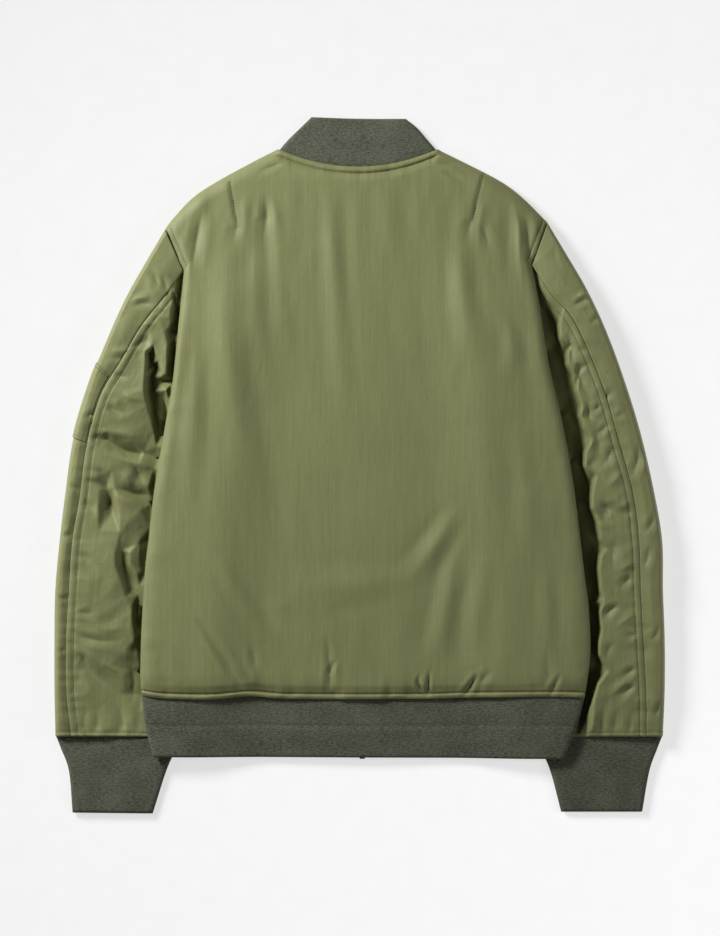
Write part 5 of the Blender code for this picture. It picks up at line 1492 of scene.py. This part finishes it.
def nylon(name, color, crumpled):
    """Light nylon: fine uneven yarns along the grain, a plain weave, and small crumples."""
    made = Nodes(name, roughness=0.58, sheen=0.25, specular=0.35)
    made.set(Sheen_Roughness=0.45, Sheen_Tint=(*shaded(color, 2.2), 1))
    cloth = made.cloth()
    yarns = made.noise(cloth, 620, 24, detail=3.0, roughness=0.6)
    slubs = made.noise(cloth, 230, 9)
    mottle = made.noise(cloth, 16, 11, detail=3.0)
    weft = made.noise(cloth, 60, 1300)
    tone = made.total((yarns, 0.45), (slubs, 0.3), (mottle, 0.15), (weft, 0.1))
    made.color(made.ramp(tone, (0.30, shaded(color, 0.86)), (0.50, color), (0.70, shaded(color, 1.14))))
    creased = made.noise(cloth, 75, 55, detail=3.0, distortion=1.2)
    made.bumps((creased, crumpled, 1.2), (slubs, 0.35, 0.35), (yarns, 0.3, 0.18), (weft, 0.25, 0.08))
    return made.material


def rib_knit(name, dark, light):
    """Rib knit of heather yarn: fine ribs along the band's short way, and flecks across them."""
    made = Nodes(name, roughness=0.92, sheen=0.35, specular=0.2)
    made.set(Sheen_Roughness=0.6, Sheen_Tint=(*shaded(light, 1.6), 1))
    cloth = made.cloth()
    flecks = made.noise(cloth, 420, 1400, roughness=0.6)
    marl = made.noise(cloth, 190, 700)
    drift = made.noise(cloth, 25, 40)
    tone = made.total((flecks, 0.5), (marl, 0.35), (drift, 0.15))
    middle = tuple((a + b) / 2 for a, b in zip(dark, light))
    made.color(made.ramp(tone, (0.39, dark), (0.50, middle), (0.61, light)))
    ribs = made.add("ShaderNodeTexWave", settings=[("bands_direction", "X")],
                    Vector=made.stretched(cloth, 1000 / RIB_PITCH, 0), Scale=WAVE_TURN, Distortion=0.0)[0]
    loops = made.noise(cloth, 420, 620, detail=1.0)
    made.bumps((ribs, 0.2, 0.3), (loops, 0.5, 0.35), (flecks, 0.4, 0.25))
    return made.material


def tape_cloth(name, color):
    """Woven tape, with its weave across and along it."""
    made = Nodes(name, roughness=0.85, sheen=0.2, specular=0.25)
    place = made.place()
    weft = made.noise(place, 250, 1500, 250)
    warp = made.noise(place, 1500, 120, 250)
    tone = made.total((weft, 0.5), (warp, 0.5))
    made.color(made.ramp(tone, (0.35, shaded(color, 0.7)), (0.65, shaded(color, 1.3))))
    made.bumps((weft, 0.5, 0.15), (warp, 0.4, 0.15))
    return made.material


def worn_metal(name, color):
    """Dark satin metal with fine scratches, and lighter where it is rubbed."""
    made = Nodes(name, roughness=0.38, metallic=0.9)
    place = made.place()
    rubbed = made.noise(place, 160, 160, 160, detail=4.0)
    scratches = made.noise(place, 300, 4000, 300)
    made.color(made.ramp(rubbed, (0.35, shaded(color, 0.75)), (0.7, shaded(color, 1.7))))
    made.feed(made.shader.inputs["Roughness"], made.math("ADD", 0.24, made.total((scratches, 0.28))))
    made.bumps((scratches, 0.25, 0.05))
    return made.material


def thread(name, color):
    """Twisted sewing thread."""
    made = Nodes(name, roughness=0.7, sheen=0.3, specular=0.3)
    twist = made.noise(made.place(), 1600, 1600, 1600, detail=1.0)
    made.color(made.ramp(twist, (0.35, shaded(color, 0.7)), (0.65, shaded(color, 1.25))))
    made.bumps((twist, 0.4, 0.1))
    return made.material


def paper(name):
    """The pale floor, which glows a little and gets lighter away from the key lamp."""
    made = Nodes(name, roughness=0.9, specular=0.1)
    grain = made.noise(made.place(), 40, 40, 40, detail=3.0)
    dark, light = (shaded([PAPER_SHADE] * 3, share) for share in PAPER_GRAIN)
    tone = made.ramp(grain, (0.3, dark), (0.7, light))
    axes = made.add("ShaderNodeSeparateXYZ", made.place())
    slope = made.math("ADD", made.total(*zip(axes, PAPER_SLOPE)), PAPER_MIDDLE)
    least, most = PAPER_RANGE
    slope = made.math("MINIMUM", made.math("MAXIMUM", slope, least), most)
    made.color(made.add("ShaderNodeVectorMath", tone, settings=[("operation", "SCALE")], Scale=slope)[0])
    made.set(Emission_Color=WHITE, Emission_Strength=PAPER_GLOW)
    return made.material


# The jacket

def dress_back(look, sewing):
    """The back, with the stitches at its neck, hem and armholes and along its darts."""
    outer, inner, (from_top, from_hem, from_left, from_right), neck = back_grid()
    cloth_skin("back", turned_in(outer, inner), look, ["back_panel"],
               outer.shape[1] // 2, straight_grain=True)
    lines = [line_at(outer[:, neck], from_top[:, neck], NECK_BAND),
             line_at(outer[::-1], from_hem[::-1], HEM_BAND)]
    near = outer.shape[1] // 4
    for points, distance, armhole_end in (
            (outer[:, :near], from_left[:, :near], SIDE_LEFT[0][1]),
            (outer[:, :-near:-1], from_right[:, :-near:-1], SIDE_RIGHT[0][1])):
        beside = (points[:, 0, 1] > armhole_end) & (np.arange(len(points)) > ARMHOLE_SKIP)
        lines.append(line_at(points[beside].swapaxes(0, 1), distance[beside].T, ARMHOLE_BAND))
    points = outer.reshape(-1, 3)
    for ends in DARTS:
        start, end = np.reshape(ends, (2, 2))
        path = start + (end - start) * np.linspace(*DART_STITCHES)[:, None]
        heights = [points[apart(points, place).argmin(), 2] for place in path]
        lines.append(with_height(path, np.array(heights)))
    stitches("back_stitches", lines, sewing)


def dress_fronts(look, sewing):
    """The two fronts, with the stitches beside the zip."""
    lines = []
    for name, table, shoulder, side, side_top in (
            ("left", LEFT_SLEEVE, SHOULDER_LEFT[::-1], SIDE_LEFT, SIDE_TOP_LEFT),
            ("right", RIGHT_SLEEVE, SHOULDER_RIGHT, SIDE_RIGHT, SIDE_TOP_RIGHT)):
        outer, inner, from_zip = front_grid(table, shoulder, side, side_top)
        cloth_skin(f"front_{name}", turned_in(outer, inner)[:, ::-1], look,
                   [f"front_{name}_panel"], outer.shape[1] // 2, straight_grain=True)
        lines.append(line_at(outer.swapaxes(0, 1), from_zip.T, ZIP_BAND))
    stitches("front_stitches", lines, sewing, side=-1)


def dress_sleeves(look, sewing):
    """The two pieces of each sleeve, with the stitches of the seam's band and of the cuff's."""
    for hand, table, inner_creases, outer_creases, seed in (
            ("left", LEFT_SLEEVE, LEFT_CREASES, LEFT_OUT_CREASES, LEFT_SLEEVE_SEED),
            ("right", RIGHT_SLEEVE, RIGHT_CREASES, RIGHT_OUT_CREASES, RIGHT_SLEEVE_SEED)):
        lines = []
        for part, place, creases in (("outer", "upper", outer_creases), ("inner", "under", inner_creases)):
            outer, inner, count = sleeve_grid(table, creases, part, seed)
            cloth_skin(f"{hand}_{place}", turned_in(outer, inner), look,
                       [f"{hand}_{place}_sleeve"], count // 2)
            top = outer[:, :count]
            if part == "inner":
                lines.append(line_beside(top.swapaxes(0, 1), SLEEVE_BAND))
            lines.append(line_beside(top[::-1], CUFF_BAND))
        stitches(f"{hand}_sleeve_stitches", lines, sewing)


def dress_pocket(look, sewing):
    """The flat patch pocket on the left sleeve, made from the sleeve's points moved out."""
    skin, _, count = sleeve_grid(LEFT_SLEEVE, LEFT_OUT_CREASES, "outer", LEFT_SLEEVE_SEED)
    rows = slice(*(int(place / (CAD_SLEEVE_ROWS - 1) * (SLEEVE_ROWS - 1)) for place in POCKET_ROWS))
    normal = np.cross(np.gradient(skin, axis=0), np.gradient(skin, axis=1))
    normal /= np.linalg.norm(normal, axis=-1, keepdims=True)
    normal *= np.sign(normal[SLEEVE_ROWS // 2, count // 2, 2])
    columns = slice(POCKET_FROM, count + POCKET_UNDER)
    skin, normal = skin[rows, columns], normal[rows, columns]
    thick = (POCKET_SKIN * ease(apart(skin, skin[:, :1]) / POCKET_RAMP))[..., None]
    outer = skin + normal * (POCKET_GAP + thick)
    inner = skin + normal * POCKET_GAP * 0.5
    depth, width = POCKET_GROOVE
    for distance in from_edges(outer)[:2]:
        outer -= normal * (depth * bump(distance - POCKET_HEM, width))[..., None]
    outer[..., 2] = np.maximum(outer[..., 2], 0)
    cloth_skin("pocket", turned_in(outer, inner), look, ["sleeve_pocket"], POCKET_SHOWN)
    top = outer[:, :count - POCKET_FROM]
    lines = [line_beside(top, POCKET_HEM), line_beside(top[::-1], POCKET_HEM)]
    stitches("pocket_stitches", lines, sewing)


def dress_ribs(look):
    """The collar, the waistband and the two cuffs."""
    for name, table, lifted, mid_line, rise in (
            ("collar", COLLAR_ROWS, False, 0.0, COLLAR_RISE),
            ("waistband", WAISTBAND_ROWS, True, MID_LINE_DEPTH, WAISTBAND_RISE)):
        outer, inner, top = rib_grid(table, lifted, mid_line, *rise)
        cloth_skin(f"{name}_rib", turned_in(outer, inner), look, [name], top)
    for hand, table, seed in zip(("left", "right"), (LEFT_CUFF_ROWS, RIGHT_CUFF_ROWS), CUFF_SEEDS):
        outer, inner, top = cuff_grid(table, seed)
        cloth_skin(f"{hand}_cuff_rib", turned_in(outer, inner, closed=True), look,
                   [f"{hand}_cuff"], top, closed=True)


# The stage

def set_floor():
    """A pale floor just below the jacket."""
    mesh = bpy.data.meshes.new("floor")
    corners = [(x * FLOOR_REACH, y * FLOOR_REACH, 0) for x, y in ((-1, -1), (1, -1), (1, 1), (-1, 1))]
    mesh.from_pydata(corners, [], [(0, 1, 2, 3)])
    mesh.materials.append(paper("paper"))
    floor = add_object("floor", mesh)
    floor.location.z = FLOOR_DROP


def set_lights():
    """A low soft light from the upper left with three fill lights, and a faint white surround."""
    for name, power, width, azimuth, elevation, distance in LAMPS:
        lamp = bpy.data.lights.new(name, "AREA")
        lamp.energy = power
        lamp.shape = "DISK"
        lamp.size = width
        light = add_object(name, lamp)
        around, above = np.radians((azimuth, elevation))
        direction = Vector((np.cos(around) * np.cos(above), np.sin(around) * np.cos(above), np.sin(above)))
        light.location = direction * distance
        light.rotation_euler = direction.to_track_quat("Z", "Y").to_euler()
    world = bpy.data.worlds.new("surround")
    bpy.context.scene.world = world
    world.use_nodes = True
    background = world.node_tree.nodes["Background"]
    background.inputs["Color"].default_value = WHITE
    background.inputs["Strength"].default_value = SURROUND


def set_camera():
    """A long lens straight above the jacket."""
    lens = bpy.data.cameras.new("camera")
    lens.lens = LENS
    lens.sensor_width = SENSOR
    camera = add_object("camera", lens)
    camera.location = (VIEW_X * MM, VIEW_Y * MM, FRAME_HEIGHT * LENS / SENSOR * MM + VIEW_LEVEL * MM)
    bpy.context.scene.camera = camera
    bpy.context.scene.view_settings.view_transform = "Standard"


olive = nylon("olive_nylon_back", OLIVE, BACK_CRUMPLED)
olive_sleeve = nylon("olive_nylon_sleeve", OLIVE, SLEEVE_CRUMPLED)
rib = rib_knit("heather_rib", RIB_DARK, RIB_LIGHT)
tape = tape_cloth("zip_tape", TAPE_GREEN)
metal = worn_metal("dark_zip_metal", ZIP_METAL)
# The thread's colour is partly painted shade of the stitch and dart grooves
sewing = thread("olive_thread_with_groove_shade", THREAD_WITH_GROOVE_SHADE)

dress_back(olive, sewing)
dress_fronts(olive, sewing)
dress_sleeves(olive_sleeve, sewing)
dress_pocket(olive_sleeve, sewing)
dress_ribs(rib)
zip_teeth(metal)
for node, look in (("zip_tape_left", tape), ("zip_tape_right", tape), ("zip_end_box", metal),
                   ("zip_slider", metal), ("zip_pull", metal)):
    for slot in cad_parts[node].material_slots:
        slot.material = look

set_floor()
set_lights()
set_camera()
